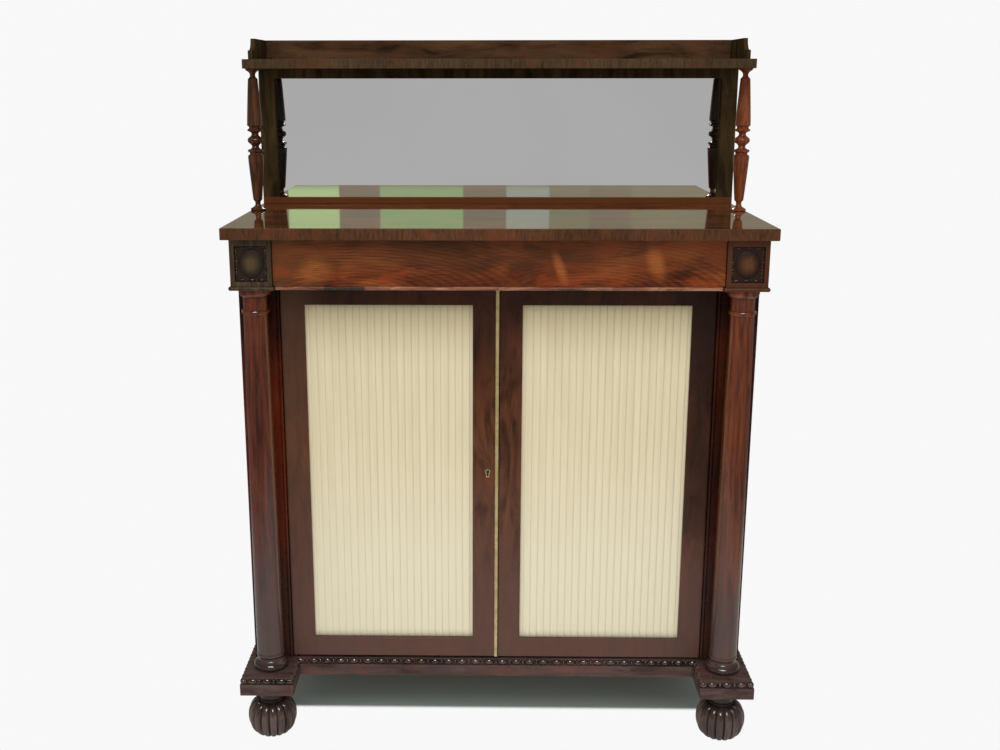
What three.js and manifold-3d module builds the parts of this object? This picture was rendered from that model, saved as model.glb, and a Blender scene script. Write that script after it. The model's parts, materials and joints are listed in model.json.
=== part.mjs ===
// Chiffonier: a cupboard with pleated silk doors behind two free-standing columns, a frieze drawer,
// a beaded plinth on reeded feet, and a mirror-backed shelf with a low gallery.
// Millimetres, +Z up, the front faces -Y. The origin is on the floor, below the middle of the plinth.
import * as THREE from 'three';
import { mergeVertices } from 'three/addons/utils/BufferGeometryUtils.js';
import Module from 'manifold-3d';

const wasm = await Module();
wasm.setup();

// Driving dimensions: heights, from the floor up
const foot_height = 104;
const plinth_flat = 23;
const bead_band = 11.5;
const plinth_fillet = 1;
const cupboard_height = 765.5; // plinth top to the underside of the abacus
const abacus_thickness = 7.5;
const frieze_height = 87;
const top_thickness = 21.5;
const display_height = 278; // top surface to the underside of the upper shelf
const upper_shelf_thickness = 18;
const gallery_height = 40;

// Driving dimensions: widths
const top_width = 1000;
const top_overhang = 12;
const block_width = 76; // frieze block and pilaster
const plinth_block_width = 105;

// Driving dimensions: depths
const body_depth = 465; // front of the plinth to the back
const top_setback = 10; // top edge behind the plinth front
const block_setback = 18; // frieze block behind the top edge
const drawer_setback = 6; // drawer face behind the frieze block
const column_setback = 30.5; // column axis behind the frieze block face
const door_setback = 66.5; // door face behind the frieze block face
const upper_shelf_depth = 184;

// Timber thicknesses
const board = 20; // carcase sides, drawer front
const door_thickness = 22;
const back_thickness = 10;
const bottom_thickness = 18;
const shelf_thickness = 16;
const dust_board_thickness = 12;
const plinth_side_thickness = 25;
const drawer_side_thickness = 12;
const drawer_bottom_thickness = 6;

// Clearances
const fit = 0.25; // a piece let into another
const slide_gap = 1; // drawer front to its neighbours
const door_gap = 1; // door to pilaster
const door_lift = 5.5; // door bottom above the plinth
const door_head = 2; // door top below the dust board
const meeting_gap = 1.5; // between the two doors
const overrun = 5; // a cutter beyond the face that it opens
const weld = 0.001; // vertices closer than this are one

// Levels and planes that follow
const plinth_height = plinth_flat + bead_band + plinth_fillet;
const bead_bottom = foot_height + plinth_flat;
const bead_top = bead_bottom + bead_band;
const plinth_top = foot_height + plinth_height;
const abacus_bottom = plinth_top + cupboard_height;
const frieze_bottom = abacus_bottom + abacus_thickness;
const top_bottom = frieze_bottom + frieze_height;
const top_surface = top_bottom + top_thickness;
const shelf_bottom = top_surface + display_height;
const shelf_surface = shelf_bottom + upper_shelf_thickness;
const gallery_top = shelf_surface + gallery_height;

const block_outer = top_width / 2 - top_overhang;
const block_inner = block_outer - block_width;
const column_x = block_outer - block_width / 2;
const plinth_outer = column_x + plinth_block_width / 2;
const plinth_inner = column_x - plinth_block_width / 2;
const side_inner = block_outer - board;
const floor_half = plinth_outer - plinth_side_thickness;

const front = -body_depth / 2;
const back = body_depth / 2;
const top_front = front + top_setback;
const block_front = top_front + block_setback;
const drawer_face = block_front + drawer_setback;
const column_y = block_front + column_setback;
const door_face = block_front + door_setback;
const door_back = door_face + door_thickness;
const back_board_front = back - back_thickness;

// Finishes
function finish(color, roughness, metalness) {
  return new THREE.MeshStandardMaterial({ color, roughness, metalness });
}
const rosewood = () => finish(0x6b3a28, 0.3, 0);
const dark_rosewood = () => finish(0x4a302a, 0.3, 0);
const carcase_pine = () => finish(0x9a7448, 0.6, 0);
const silk = () => finish(0xe2d4b2, 0.7, 0);
const brass = () => finish(0xc4ad76, 0.35, 1);
const steel = () => finish(0x8a8a88, 0.4, 1);
const mirror_silver = () => finish(0xb4b4b4, 0.05, 1);

// Shapes

function box([x0, x1], [y0, y1], [z0, z1]) {
  const shape = new THREE.BoxGeometry(x1 - x0, y1 - y0, z1 - z0);
  return shape.translate((x0 + x1) / 2, (y0 + y1) / 2, (z0 + z1) / 2);
}

function outlineShape(points) {
  return new THREE.Shape(points.map(([u, v]) => new THREE.Vector2(u, v)));
}

// An outline in x and y, extruded up.
function prismUp(points, [z0, z1]) {
  const shape = outlineShape(points);
  return new THREE.ExtrudeGeometry(shape, { depth: z1 - z0, bevelEnabled: false }).translate(0, 0, z0);
}

// An outline in y and z, extruded along x.
function prismAcross(points, [x0, x1]) {
  const shape = outlineShape(points);
  const long = new THREE.ExtrudeGeometry(shape, { depth: x1 - x0, bevelEnabled: false });
  const turn = new THREE.Matrix4().makeBasis(
    new THREE.Vector3(0, 1, 0),
    new THREE.Vector3(0, 0, 1),
    new THREE.Vector3(1, 0, 0),
  );
  return long.applyMatrix4(turn).translate(x0, 0, 0);
}

// An outline in x and z, extruded from front to back.
function prismBack(shape, [y0, y1]) {
  const deep = new THREE.ExtrudeGeometry(shape, { depth: y1 - y0, bevelEnabled: false });
  return deep.rotateX(Math.PI / 2).translate(0, y1, 0);
}

// A turned shape about the z axis from points of radius and height, listed upwards.
function turned(points, sides) {
  const outline = points.map(([radius, height]) => new THREE.Vector2(radius, height));
  return new THREE.LatheGeometry(outline, sides).rotateX(Math.PI / 2);
}

// Points on part of an ellipse, for rounded and hollow mouldings.
function arc([u, v], [width, height], start, end, steps) {
  const points = [];
  for (let i = 0; i <= steps; i++) {
    const angle = start + ((end - start) * i) / steps;
    points.push([u + width * Math.cos(angle), v + height * Math.sin(angle)]);
  }
  return points;
}

function post(radius, [z0, z1], sides) {
  return turned([[0, z0], [radius, z0], [radius, z1], [0, z1]], sides);
}

function solid(geometry) {
  const bare = new THREE.BufferGeometry();
  bare.setAttribute('position', geometry.getAttribute('position'));
  bare.setIndex(geometry.index);
  const merged = mergeVertices(bare, weld);
  return new wasm.Manifold(
    new wasm.Mesh({
      numProp: 3,
      vertProperties: merged.attributes.position.array,
      triVerts: new Uint32Array(merged.index.array),
    }),
  );
}

function surface(body) {
  const { vertProperties, triVerts } = body.getMesh();
  const shape = new THREE.BufferGeometry();
  shape.setAttribute('position', new THREE.BufferAttribute(vertProperties, 3));
  shape.setIndex(new THREE.BufferAttribute(triVerts, 1));
  const faceted = shape.toNonIndexed();
  faceted.computeVertexNormals();
  return faceted;
}

function join(first, ...others) {
  return surface(others.reduce((sum, shape) => sum.add(solid(shape)), solid(first)));
}

function cut(first, ...cutters) {
  return surface(cutters.reduce((rest, shape) => rest.subtract(solid(shape)), solid(first)));
}

// An x range on the left (side -1) or right (side 1), given outwards from the middle.
function across(side, near, far) {
  return side < 0 ? [-far, -near] : [near, far];
}

function grown([low, high], margin) {
  return [low - margin, high + margin];
}

function span(a, b) {
  return [Math.min(a, b), Math.max(a, b)];
}

function place(parent, name, geometry, material) {
  const mesh = new THREE.Mesh(geometry, material);
  mesh.name = name;
  parent.add(mesh);
  return mesh;
}

const LEFT = -1;
const RIGHT = 1;
const side_names = { [LEFT]: 'left', [RIGHT]: 'right' };

// Reeded feet: each is a turned melon on a hollow neck, carved into reeds all round.
const foot_width = 96;
const foot_reeds = 16;
const reed_steps = 3;
const reed_depth = 6;
// Radius, height and carved depth as shares of the foot's half width, height and reed depth.
// The reeds rise to a shoulder, and a thin ring stands inside it at the foot of the neck.
const foot_profile_shares = [
  [0, 0, 0],
  [0.55, 0, 0.7],
  [0.82, 0.09, 1],
  [0.98, 0.27, 1],
  [1, 0.41, 1],
  [0.95, 0.55, 1],
  [0.82, 0.67, 1],
  [0.68, 0.73, 0.6],
  [0.59, 0.73, 0],
  [0.57, 0.765, 0],
  [0.46, 0.77, 0],
  [0.44, 0.88, 0],
  [0.6, 1, 0],
  [0, 1, 0],
];

function footGeometry() {
  const half = foot_width / 2;
  const profile = foot_profile_shares.map(([r, h]) => [r * half, h * foot_height]);
  const foot = turned(profile, foot_reeds * reed_steps);
  const rings = foot_profile_shares.length;
  const position = foot.getAttribute('position');
  for (let i = 0; i < position.count; i++) {
    const column = Math.floor(i / rings);
    const ring = i % rings;
    const radius = profile[ring][0];
    const in_groove = column % reed_steps === 0;
    if (!in_groove || radius === 0) continue;
    const carved = 1 - (reed_depth * foot_profile_shares[ring][2]) / radius;
    position.setX(i, position.getX(i) * carved);
    position.setY(i, position.getY(i) * carved);
  }
  return foot;
}

function addFeet(group) {
  const inset = plinth_block_width / 2;
  for (const side of [LEFT, RIGHT]) {
    for (const [row, y] of [['front', front + inset], ['back', back - inset]]) {
      const name = `foot_${row}_${side_names[side]}`;
      place(group, name, footGeometry(), dark_rosewood()).position.set(side * column_x, y, 0);
    }
  }
}

// Plinth: a flat, a sunk band for the beads and a fillet on top, broken forward under each column.
const bead_recess = 6.5; // band behind the flat
const fillet_recess = 5; // fillet behind the flat
const rear_rail_width = 100;

function plinthBlockGeometry(side) {
  const y = (recess) => [front + recess, door_back];
  const x = (recess) => across(side, plinth_inner + recess, plinth_outer - recess);
  return join(
    box(x(0), y(0), [foot_height, bead_bottom]),
    box(x(bead_recess), y(bead_recess), [foot_height, plinth_top]),
    box(x(fillet_recess), y(fillet_recess), [bead_top, plinth_top]),
  );
}

const rail_projection = 6.5; // front rail before the door face
const rail_front = door_face - rail_projection;

function frontRailGeometry() {
  const x = (reach) => [-plinth_inner - reach, plinth_inner + reach];
  const y = (recess) => [rail_front + recess, door_back];
  return join(
    box(x(0), y(0), [foot_height, bead_bottom]),
    box(x(bead_recess), y(bead_recess), [bead_bottom, bead_top]),
    box(x(0), y(bead_recess), [foot_height, plinth_top]),
    box(x(fillet_recess), y(fillet_recess), [bead_top, plinth_top]),
  );
}

function plinthSideGeometry(side) {
  const x = (recess) => across(side, floor_half, plinth_outer - recess);
  const y = [door_back, back];
  return join(
    box(x(0), y, [foot_height, bead_bottom]),
    box(x(bead_recess), y, [foot_height, plinth_top]),
    box(x(fillet_recess), y, [bead_top, plinth_top]),
  );
}

function addPlinth(group) {
  for (const side of [LEFT, RIGHT]) {
    place(group, `plinth_block_${side_names[side]}`, plinthBlockGeometry(side), dark_rosewood());
    place(group, `plinth_side_${side_names[side]}`, plinthSideGeometry(side), dark_rosewood());
  }
  place(group, 'plinth_rail_front', frontRailGeometry(), dark_rosewood());
  const floor_bottom = plinth_top - bottom_thickness;
  const floor_x = [-floor_half, floor_half];
  const rear_y = [back - rear_rail_width, back];
  place(group, 'plinth_rail_back', box(floor_x, rear_y, [foot_height, floor_bottom]), carcase_pine());
  const floor_y = [door_back, back_board_front];
  place(group, 'bottom_board', box(floor_x, floor_y, [floor_bottom, plinth_top]), carcase_pine());
}

// Bead and reel: a rod is turned in one length and split, and its flat back is glued on.
const bead_pitch = 27.4;
const bead_radius = bead_band / 2 - fit;
const rod_sides = 8;
// One pitch of the rod, as shares of the pitch and of the bead's radius.
const bead_unit_shares = [
  [0.05, 0.5],
  [0.08, 0.82],
  [0.2, 0.82],
  [0.23, 0.5],
  [0.5, 0.97],
  [0.78, 0.97],
];

// Half of a bead and reel rod along z, flat towards +y, its middle at the origin.
function splitRod(length, pitch, radius, sides) {
  const count = Math.max(1, Math.round(length / pitch));
  const step = length / count;
  const end_radius = radius * bead_unit_shares[0][1];
  const points = [[0, 0], [end_radius, 0]];
  for (let i = 0; i < count; i++) {
    for (const [along, out] of bead_unit_shares) {
      points.push([out * radius, (i + along) * step]);
    }
  }
  points.push([end_radius, length], [0, length]);
  const rod = turned(points, sides).translate(0, 0, -length / 2);
  const beyond = radius + overrun;
  const behind = box([-beyond, beyond], [0, beyond], grown([-length / 2, length / 2], overrun));
  return cut(rod, behind);
}

const bead_level = bead_bottom + bead_band / 2;

// A split rod laid level against a wall that faces -y, then turned about z to face another way.
function beadRun(length, turn, x, y) {
  const rod = splitRod(length, bead_pitch, bead_radius, rod_sides);
  return rod.rotateY(Math.PI / 2).rotateZ(turn).translate(x, y, bead_level);
}

function sideBeadGeometry(side) {
  const outer_wall = plinth_outer - bead_recess;
  const inner_wall = plinth_inner + bead_recess;
  const front_wall = front + bead_recess;
  const return_end = rail_front + bead_recess - bead_radius - fit;
  const corner = (x) => new THREE.SphereGeometry(bead_radius, 8, 6).translate(side * x, front_wall, bead_level);
  const front_run = beadRun(outer_wall - inner_wall, 0, side * column_x, front_wall);
  const outer_run = beadRun(back - front_wall, (side * Math.PI) / 2, side * outer_wall, (front_wall + back) / 2);
  const return_run = beadRun(
    return_end - front_wall,
    (-side * Math.PI) / 2,
    side * inner_wall,
    (front_wall + return_end) / 2,
  );
  const core_y = [front_wall, back + overrun];
  const core = box(across(side, inner_wall, outer_wall), core_y, grown([bead_bottom, bead_top], overrun));
  return cut(join(front_run, outer_run, return_run, corner(outer_wall), corner(inner_wall)), core);
}

function addBeads(group) {
  const rail = beadRun(2 * plinth_inner, 0, 0, rail_front + bead_recess);
  place(group, 'bead_moulding_front', rail, dark_rosewood());
  for (const side of [LEFT, RIGHT]) {
    place(group, `bead_moulding_${side_names[side]}`, sideBeadGeometry(side), dark_rosewood());
  }
}

// Carcase
const housing = 6; // depth of a groove that holds a board's end
const shelf_setback = 30; // cupboard shelf behind the doors
const shelf_level_share = 0.5; // of the cupboard's height
const cupboard_shelf_bottom = plinth_top + cupboard_height * shelf_level_share;
const dust_board_bottom = abacus_bottom;
const dust_board_top = dust_board_bottom + dust_board_thickness;
const door_bottom = plinth_top + door_lift;
const door_top = dust_board_bottom - door_head;

function sidePanelGeometry(side) {
  const panel = box(across(side, side_inner, block_outer), [door_back, back], [plinth_top, top_bottom]);
  const groove_x = across(side, side_inner - overrun, side_inner + housing);
  const shelf_z = [cupboard_shelf_bottom, cupboard_shelf_bottom + shelf_thickness + fit];
  const dust_z = [dust_board_bottom, dust_board_top + fit];
  return cut(
    panel,
    box(groove_x, [door_back + shelf_setback - fit, back + overrun], shelf_z),
    box(groove_x, [door_back - overrun, back + overrun], dust_z),
  );
}

// Pilasters: a bead runs up the edge beside the door, with a groove to set it off.
const pilaster_bead = 6;
const pilaster_groove = 1.2;

function pilasterGeometry(side) {
  const radius = pilaster_bead / 2;
  const bead_outer = block_inner + pilaster_bead;
  const groove_outer = bead_outer + pilaster_groove;
  const bead_y = door_face + radius;
  const outline = [
    [block_inner, door_back],
    ...arc([block_inner + radius, bead_y], [radius, radius], -Math.PI, 0, 6),
    [groove_outer, bead_y],
    [groove_outer, door_face],
    [block_outer, door_face],
    [block_outer, door_back],
  ];
  return prismUp(outline.map(([x, y]) => [side * x, y]), [plinth_top, abacus_bottom]);
}

// The dust board is narrow between the frieze blocks and wide behind them.
const drawer_stop_gap = 2;
const abacus_overhang = 4;
const abacus_inner = block_inner - abacus_overhang;

function dustBoardGeometry() {
  const wide = side_inner + housing - fit;
  const narrow = abacus_inner - fit;
  const nose = drawer_face + board + drawer_stop_gap;
  const shoulder = door_back + fit;
  const tail = back_board_front - fit;
  const outline = [
    [-narrow, nose],
    [narrow, nose],
    [narrow, shoulder],
    [wide, shoulder],
    [wide, tail],
    [-wide, tail],
    [-wide, shoulder],
    [-narrow, shoulder],
  ];
  return prismUp(outline, [dust_board_bottom, dust_board_top]);
}

function addCarcase(group) {
  for (const side of [LEFT, RIGHT]) {
    place(group, `side_panel_${side_names[side]}`, sidePanelGeometry(side), rosewood());
    place(group, `pilaster_${side_names[side]}`, pilasterGeometry(side), dark_rosewood());
  }
  const between = [-side_inner, side_inner];
  const back_z = [plinth_top - bottom_thickness, top_bottom];
  place(group, 'back_board', box(between, [back_board_front, back], back_z), carcase_pine());
  const shelf_x = grown(between, housing - fit);
  const shelf_y = [door_back + shelf_setback, back_board_front - fit];
  const shelf_z = [cupboard_shelf_bottom, cupboard_shelf_bottom + shelf_thickness];
  place(group, 'cupboard_shelf', box(shelf_x, shelf_y, shelf_z), carcase_pine());
  place(group, 'dust_board', dustBoardGeometry(), carcase_pine());
  const top_x = [-top_width / 2, top_width / 2];
  place(group, 'top_board', box(top_x, [top_front, back], [top_bottom, top_surface]), rosewood());
}

// Columns: one turning each, from the torus on the plinth to the echinus below the abacus.
const base_width = 66;
const base_height = 28;
// Radius and height as shares of the base's half width and height: a full torus under a hollow.
const base_profile_shares = [
  [0, 0],
  [0.93, 0],
  [1, 0.14],
  [1, 0.32],
  [0.96, 0.56],
  [0.86, 0.7],
  [0.74, 0.79],
  [0.71, 0.88],
  [0.78, 1],
];
const base_ring_width = 55.5;
const base_ring_height = 8;
const shaft_foot_width = 53;
const shaft_head_width = 45.5;
const astragal_width = 51.5;
const astragal_height = 9;
const column_neck_width = 44.5;
const column_neck_height = 24;
const echinus_width = 60;
const echinus_height = 15;
const column_sides = 20;
const shaft_steps = 4;
const swell_power = 1.7; // the shaft thins faster towards its head

function shaftPoints(z0, z1) {
  const points = [];
  for (let i = 0; i <= shaft_steps; i++) {
    const t = i / shaft_steps;
    const width = shaft_foot_width - (shaft_foot_width - shaft_head_width) * t ** swell_power;
    points.push([width / 2, z0 + (z1 - z0) * t]);
  }
  return points;
}

function columnGeometry() {
  const base = base_profile_shares.map(([r, h]) => [(r * base_width) / 2, h * base_height]);
  const ring_top = base_height + base_ring_height;
  const echinus_bottom = cupboard_height - echinus_height;
  const neck_bottom = echinus_bottom - column_neck_height;
  const astragal_bottom = neck_bottom - astragal_height;
  const echinus_swell = (echinus_width - column_neck_width) / 2;
  const quarter = Math.PI / 2;
  return turned(
    [
      ...base,
      [base_ring_width / 2, base_height],
      [base_ring_width / 2, ring_top],
      ...shaftPoints(ring_top, astragal_bottom),
      ...arc(
        [shaft_head_width / 2, astragal_bottom + astragal_height / 2],
        [(astragal_width - shaft_head_width) / 2, astragal_height / 2],
        -quarter,
        quarter,
        3,
      ),
      [column_neck_width / 2, neck_bottom],
      [column_neck_width / 2, echinus_bottom],
      ...arc(
        [column_neck_width / 2, cupboard_height - echinus_height * 0.3],
        [echinus_swell, echinus_height * 0.7],
        -quarter,
        0,
        3,
      ),
      [echinus_width / 2, cupboard_height],
      [0, cupboard_height],
    ],
    column_sides,
  );
}

function addColumns(group) {
  for (const side of [LEFT, RIGHT]) {
    const column = place(group, `column_${side_names[side]}`, columnGeometry(), rosewood());
    column.position.set(side * column_x, column_y, plinth_top);
    place(group, `abacus_${side_names[side]}`, abacusGeometry(side), dark_rosewood());
  }
}

// A thin slab with a half-round edge, wider than the block above it.
function abacusGeometry(side) {
  const nose = abacus_thickness / 2 - fit;
  const x = across(side, abacus_inner, block_outer + abacus_overhang);
  const y = [block_front - abacus_overhang, door_back];
  const outline = outlineShape([[x[0], y[0]], [x[1], y[0]], [x[1], y[1]], [x[0], y[1]]]);
  const slab = new THREE.ExtrudeGeometry(outline, {
    depth: abacus_thickness - 2 * nose,
    bevelThickness: nose,
    bevelSize: nose,
    bevelOffset: -nose,
    bevelSegments: 3,
  });
  return slab.translate(0, 0, abacus_bottom + nose);
}

// Frieze blocks: a sunk panel edged with small beads, round a low oval dome.
const panel_side_border = 8.5;
const panel_foot_border = 8.5;
const panel_head_border = 13;
const panel_sink = 7;
const dome_margin = 8;
const dome_rise = 5.5;
const small_bead_pitch = 21;
const small_bead_radius = 2.6;

function friezeBlockGeometry(side) {
  const x = across(side, block_inner, block_outer);
  const z = [frieze_bottom, top_bottom];
  const panel_x = grown(x, -panel_side_border);
  const panel_z = [z[0] + panel_foot_border, z[1] - panel_head_border];
  const floor_y = block_front + panel_sink;
  const recess = box(panel_x, [block_front - overrun, floor_y], panel_z);
  const block = cut(box(x, [block_front, door_back], z), recess);
  const middle = [side * column_x, floor_y, (panel_z[0] + panel_z[1]) / 2];
  const dome_x = (panel_x[1] - panel_x[0]) / 2 - dome_margin;
  const dome_z = (panel_z[1] - panel_z[0]) / 2 - dome_margin;
  const ball = new THREE.SphereGeometry(1, 14, 8).rotateX(Math.PI / 2);
  const dome = ball.scale(dome_x, dome_rise, dome_z).translate(...middle);
  const rod = (length) => splitRod(length, small_bead_pitch, small_bead_radius, 6);
  const level_rod = () => rod(panel_x[1] - panel_x[0]).rotateY(Math.PI / 2);
  const lying = (level) => level_rod().translate(middle[0], floor_y, level);
  const standing = (place_x) => rod(panel_z[1] - panel_z[0]).translate(place_x, floor_y, middle[2]);
  return join(
    block,
    dome,
    lying(panel_z[0] + small_bead_radius),
    lying(panel_z[1] - small_bead_radius),
    standing(panel_x[0] + small_bead_radius),
    standing(panel_x[1] - small_bead_radius),
  );
}

// Frieze drawer and what it runs on
const lip_projection = 3;
const lip_depth = 24;
const drawer_box_gap = 3.5; // drawer side to frieze block
const guide_gap = 0.5;
const guide_width = 25;
const guide_height = 28;
const drawer_rear_gap = 23; // drawer back to the back boards
const drawer_back_drop = 12; // drawer back below the sides
const bottom_lift = 4; // drawer bottom above the lower edge of the sides
const drawer_side_outer = block_inner - drawer_box_gap;
const drawer_side_inner = drawer_side_outer - drawer_side_thickness;

function drawerFrontGeometry() {
  const face_x = block_inner - slide_gap;
  const face_z = [frieze_bottom + slide_gap, top_bottom - slide_gap];
  const face = box([-face_x, face_x], [drawer_face, drawer_face + board], face_z);
  const lip_x = abacus_inner - slide_gap;
  const nose = abacus_thickness / 2 - fit;
  const nose_y = drawer_face - lip_projection + nose;
  const lip_z = abacus_bottom + fit + nose;
  const round = arc([nose_y, lip_z], [nose, nose], (3 * Math.PI) / 2, Math.PI / 2, 5);
  const lip_tail = drawer_face - lip_projection + lip_depth;
  const outline = [...round, [drawer_face, lip_z + nose], [drawer_face, frieze_bottom + 2 * slide_gap]];
  outline.push([drawer_face + board, frieze_bottom + 2 * slide_gap], [drawer_face + board, frieze_bottom - fit]);
  outline.push([lip_tail, frieze_bottom - fit], [lip_tail, abacus_bottom + fit]);
  return join(face, prismAcross(outline, [-lip_x, lip_x]));
}

function addDrawer(group) {
  const box_front = drawer_face + board;
  const box_back = back_board_front - drawer_rear_gap;
  const side_z = [dust_board_top + fit, top_bottom - drawer_stop_gap];
  const bottom_z = [side_z[0] + bottom_lift, side_z[0] + bottom_lift + drawer_bottom_thickness];
  const inner_x = [-drawer_side_inner, drawer_side_inner];
  place(group, 'drawer_front', drawerFrontGeometry(), rosewood());
  for (const side of [LEFT, RIGHT]) {
    const x = across(side, drawer_side_inner, drawer_side_outer);
    place(group, `drawer_side_${side_names[side]}`, box(x, [box_front, box_back], side_z), carcase_pine());
  }
  place(group, 'drawer_bottom', box(inner_x, [box_front, box_back], bottom_z), carcase_pine());
  const back_y = [box_back - drawer_side_thickness, box_back];
  const back_z = [bottom_z[1], side_z[1] - drawer_back_drop];
  place(group, 'drawer_back', box(inner_x, back_y, back_z), carcase_pine());
}

function addDrawerGuides(group) {
  const near = drawer_side_outer + guide_gap;
  for (const side of [LEFT, RIGHT]) {
    const x = across(side, near, near + guide_width);
    const z = [dust_board_top, dust_board_top + guide_height];
    const guide = box(x, [door_back, back_board_front], z);
    place(group, `drawer_guide_${side_names[side]}`, guide, carcase_pine());
  }
}

// Doors: a veneered frame with a sight opening, rebated behind for the silk panel.
const outer_stile = 47;
const meeting_stile = 47; // from the middle of the cabinet
const top_rail = 36;
const bottom_rail = 40.5;
const sight_depth = 5; // face to the silk
const rebate = 8;
const strip_width = 7;
const strip_rise = 3;
const door_edge_left = 3; // meeting edge of the left door, right of the middle

// Pivots: a pin on a plate above and below each door turns in a plate let into the door's edge.
const pivot_inset = 4; // pin from the door's face and hanging edge
const pin_radius = 2;
const pin_clearance = 0.3;
const pin_reach = 9; // pin inside the door
const collar_radius = 3;
const pivot_plate = 1.5;
const plate_length = 17;
const plate_near = 3; // plate before and outside the pin
const plate_far = 5; // plate inwards of the pin
const bore_margin = 1;
const post_sides = 12;
const door_edge = block_inner - door_gap;
const pivot_x = door_edge - pivot_inset;
const pivot_y = door_face + pivot_inset;

const sight_x = [meeting_stile, block_inner - outer_stile];
const sight_z = [door_bottom + bottom_rail, door_top - top_rail];

// Lock
const lock_level_share = 0.518; // of the door's height
const keyhole_inset = 21; // from the meeting edge
const lock_length = 35;
const lock_half_height = 30;
const lock_depth = 12;
const bolt_length = 20;
const bolt_thickness = 4;
const bolt_half_height = 5;
const bolt_clearance = 0.5;
const bolt_setback = 0.5;
const bolt_throw = 7;
const keyhole_head = 3.5;
const keyhole_slot = 3.4;
const keyhole_drop = 10;
const escutcheon_rim = 1.3;
const escutcheon_depth = 3;
const escutcheon_proud = 0.2;
const lock_level = door_bottom + (door_top - door_bottom) * lock_level_share;
const keyhole_x = door_edge_left - keyhole_inset;
const lock_front = door_back - lock_depth;
const lock_x = [door_edge_left - lock_length, door_edge_left];
const lock_z = [lock_level - lock_half_height, lock_level + lock_half_height];
const bolt_y = lock_front + lock_depth / 2;

// A keyhole outline, grown by a margin: a round head over a straight slot.
function keyholeShape(margin) {
  const head = keyhole_head + margin;
  const half_slot = keyhole_slot / 2 + margin;
  const turn = Math.asin(half_slot / head);
  const points = arc([keyhole_x, lock_level], [head, head], -Math.PI / 2 + turn, (3 * Math.PI) / 2 - turn, 12);
  points.push([keyhole_x - half_slot, lock_level - keyhole_drop - margin]);
  points.push([keyhole_x + half_slot, lock_level - keyhole_drop - margin]);
  return outlineShape(points);
}

// What rounds the front corner of the hanging edge about the pivot.
function cornerCutter(side) {
  const outline = [
    [pivot_x, door_face - overrun],
    ...arc([pivot_x, pivot_y], [pivot_inset, pivot_inset], -Math.PI / 2, 0, 5),
    [door_edge + overrun, pivot_y],
    [door_edge + overrun, door_face - overrun],
  ];
  const z = grown([door_bottom, door_top], overrun);
  return prismUp(outline.map(([x, y]) => [side * x, y]), z);
}

function plateX(side) {
  return span(side * -plate_far, side * plate_near);
}

const plate_y = [-plate_near, plate_length - plate_near];

// Recess for a plate and bore for its pin, in a door edge at the given level.
function pivotCutters(side, level, up) {
  const seat_z = span(-up * overrun, up * pivot_plate);
  const seat = box(grown(plateX(side), fit), grown(plate_y, fit), seat_z);
  const bore_z = span(-up * overrun, up * (pin_reach + bore_margin));
  const bore = post(pin_radius + bore_margin, bore_z, post_sides);
  return [seat, bore].map((shape) => shape.translate(side * pivot_x, pivot_y, level));
}

function keyholeCutters() {
  const seat_y = [door_face - overrun, door_face + escutcheon_depth];
  const hole_y = [door_face - overrun, lock_front + overrun];
  const lock_seat_x = [lock_x[0] - fit, lock_x[1] + overrun];
  return [
    prismBack(keyholeShape(escutcheon_rim + fit), seat_y),
    prismBack(keyholeShape(fit), hole_y),
    box(lock_seat_x, [lock_front, door_back + overrun], grown(lock_z, fit)),
  ];
}

function boltMortise(meeting_edge) {
  const x = [meeting_edge - overrun, door_edge_left + bolt_throw + 2 * bolt_clearance];
  const y = grown([bolt_y - bolt_thickness / 2, bolt_y + bolt_thickness / 2], bolt_clearance);
  const z = grown([lock_level - bolt_half_height, lock_level + bolt_half_height], bolt_clearance);
  return box(x, y, z);
}

function doorFrameGeometry(side) {
  const meeting_edge = side === LEFT ? -door_edge_left : door_edge_left + meeting_gap;
  const x = across(side, meeting_edge, door_edge);
  const opening_x = across(side, ...sight_x);
  const rebate_y = [door_face + sight_depth, door_back + overrun];
  const lock_cutters = side === LEFT ? keyholeCutters() : [boltMortise(meeting_edge)];
  return cut(
    box(x, [door_face, door_back], [door_bottom, door_top]),
    box(opening_x, grown([door_face, door_back], overrun), sight_z),
    box(grown(opening_x, rebate), rebate_y, grown(sight_z, rebate)),
    cornerCutter(side),
    ...pivotCutters(side, door_bottom, 1),
    ...pivotCutters(side, door_top, -1),
    ...lock_cutters,
  );
}

// Pleated silk: each knife pleat rises slowly to its fold and drops back under the next.
const silk_clearance = 0.5;
const pleats = 24;
const pleat_rise = 2;
const silk_base = 3;
// Across one pleat and forward, as shares of the pleat's width and rise.
const pleat_shares = [[0.02, 0.1], [0.3, 0.55], [0.65, 1], [0.9, 1], [0.98, 0.4]];

function silkGeometry(side) {
  const x = grown(across(side, ...sight_x), rebate - silk_clearance);
  const z = grown(sight_z, rebate - silk_clearance);
  const crest = door_face + sight_depth;
  const trough = crest + pleat_rise;
  const width = (x[1] - x[0]) / pleats;
  const outline = [];
  for (let i = 0; i < pleats; i++) {
    for (const [along, forward] of pleat_shares) {
      outline.push([x[0] + (i + along) * width, trough - forward * pleat_rise]);
    }
  }
  outline.push([x[1], trough], [x[1], trough + silk_base], [x[0], trough + silk_base], [x[0], trough]);
  return prismUp(outline, z);
}

// A plate with a collar and pin, from the surface that it is fixed to.
function fixedPivotGeometry(side, gap, up) {
  return join(
    box(plateX(side), plate_y, span(0, up * pivot_plate)),
    post(collar_radius, span(0, up * (gap - fit)), post_sides),
    post(pin_radius, span(0, up * (gap + pin_reach)), post_sides),
  );
}

function doorPivotGeometry(side, up) {
  const plate = box(plateX(side), plate_y, span(0, up * pivot_plate));
  const hole = post(pin_radius + pin_clearance, grown(span(0, up * pivot_plate), overrun), post_sides);
  return cut(plate, hole);
}

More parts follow.
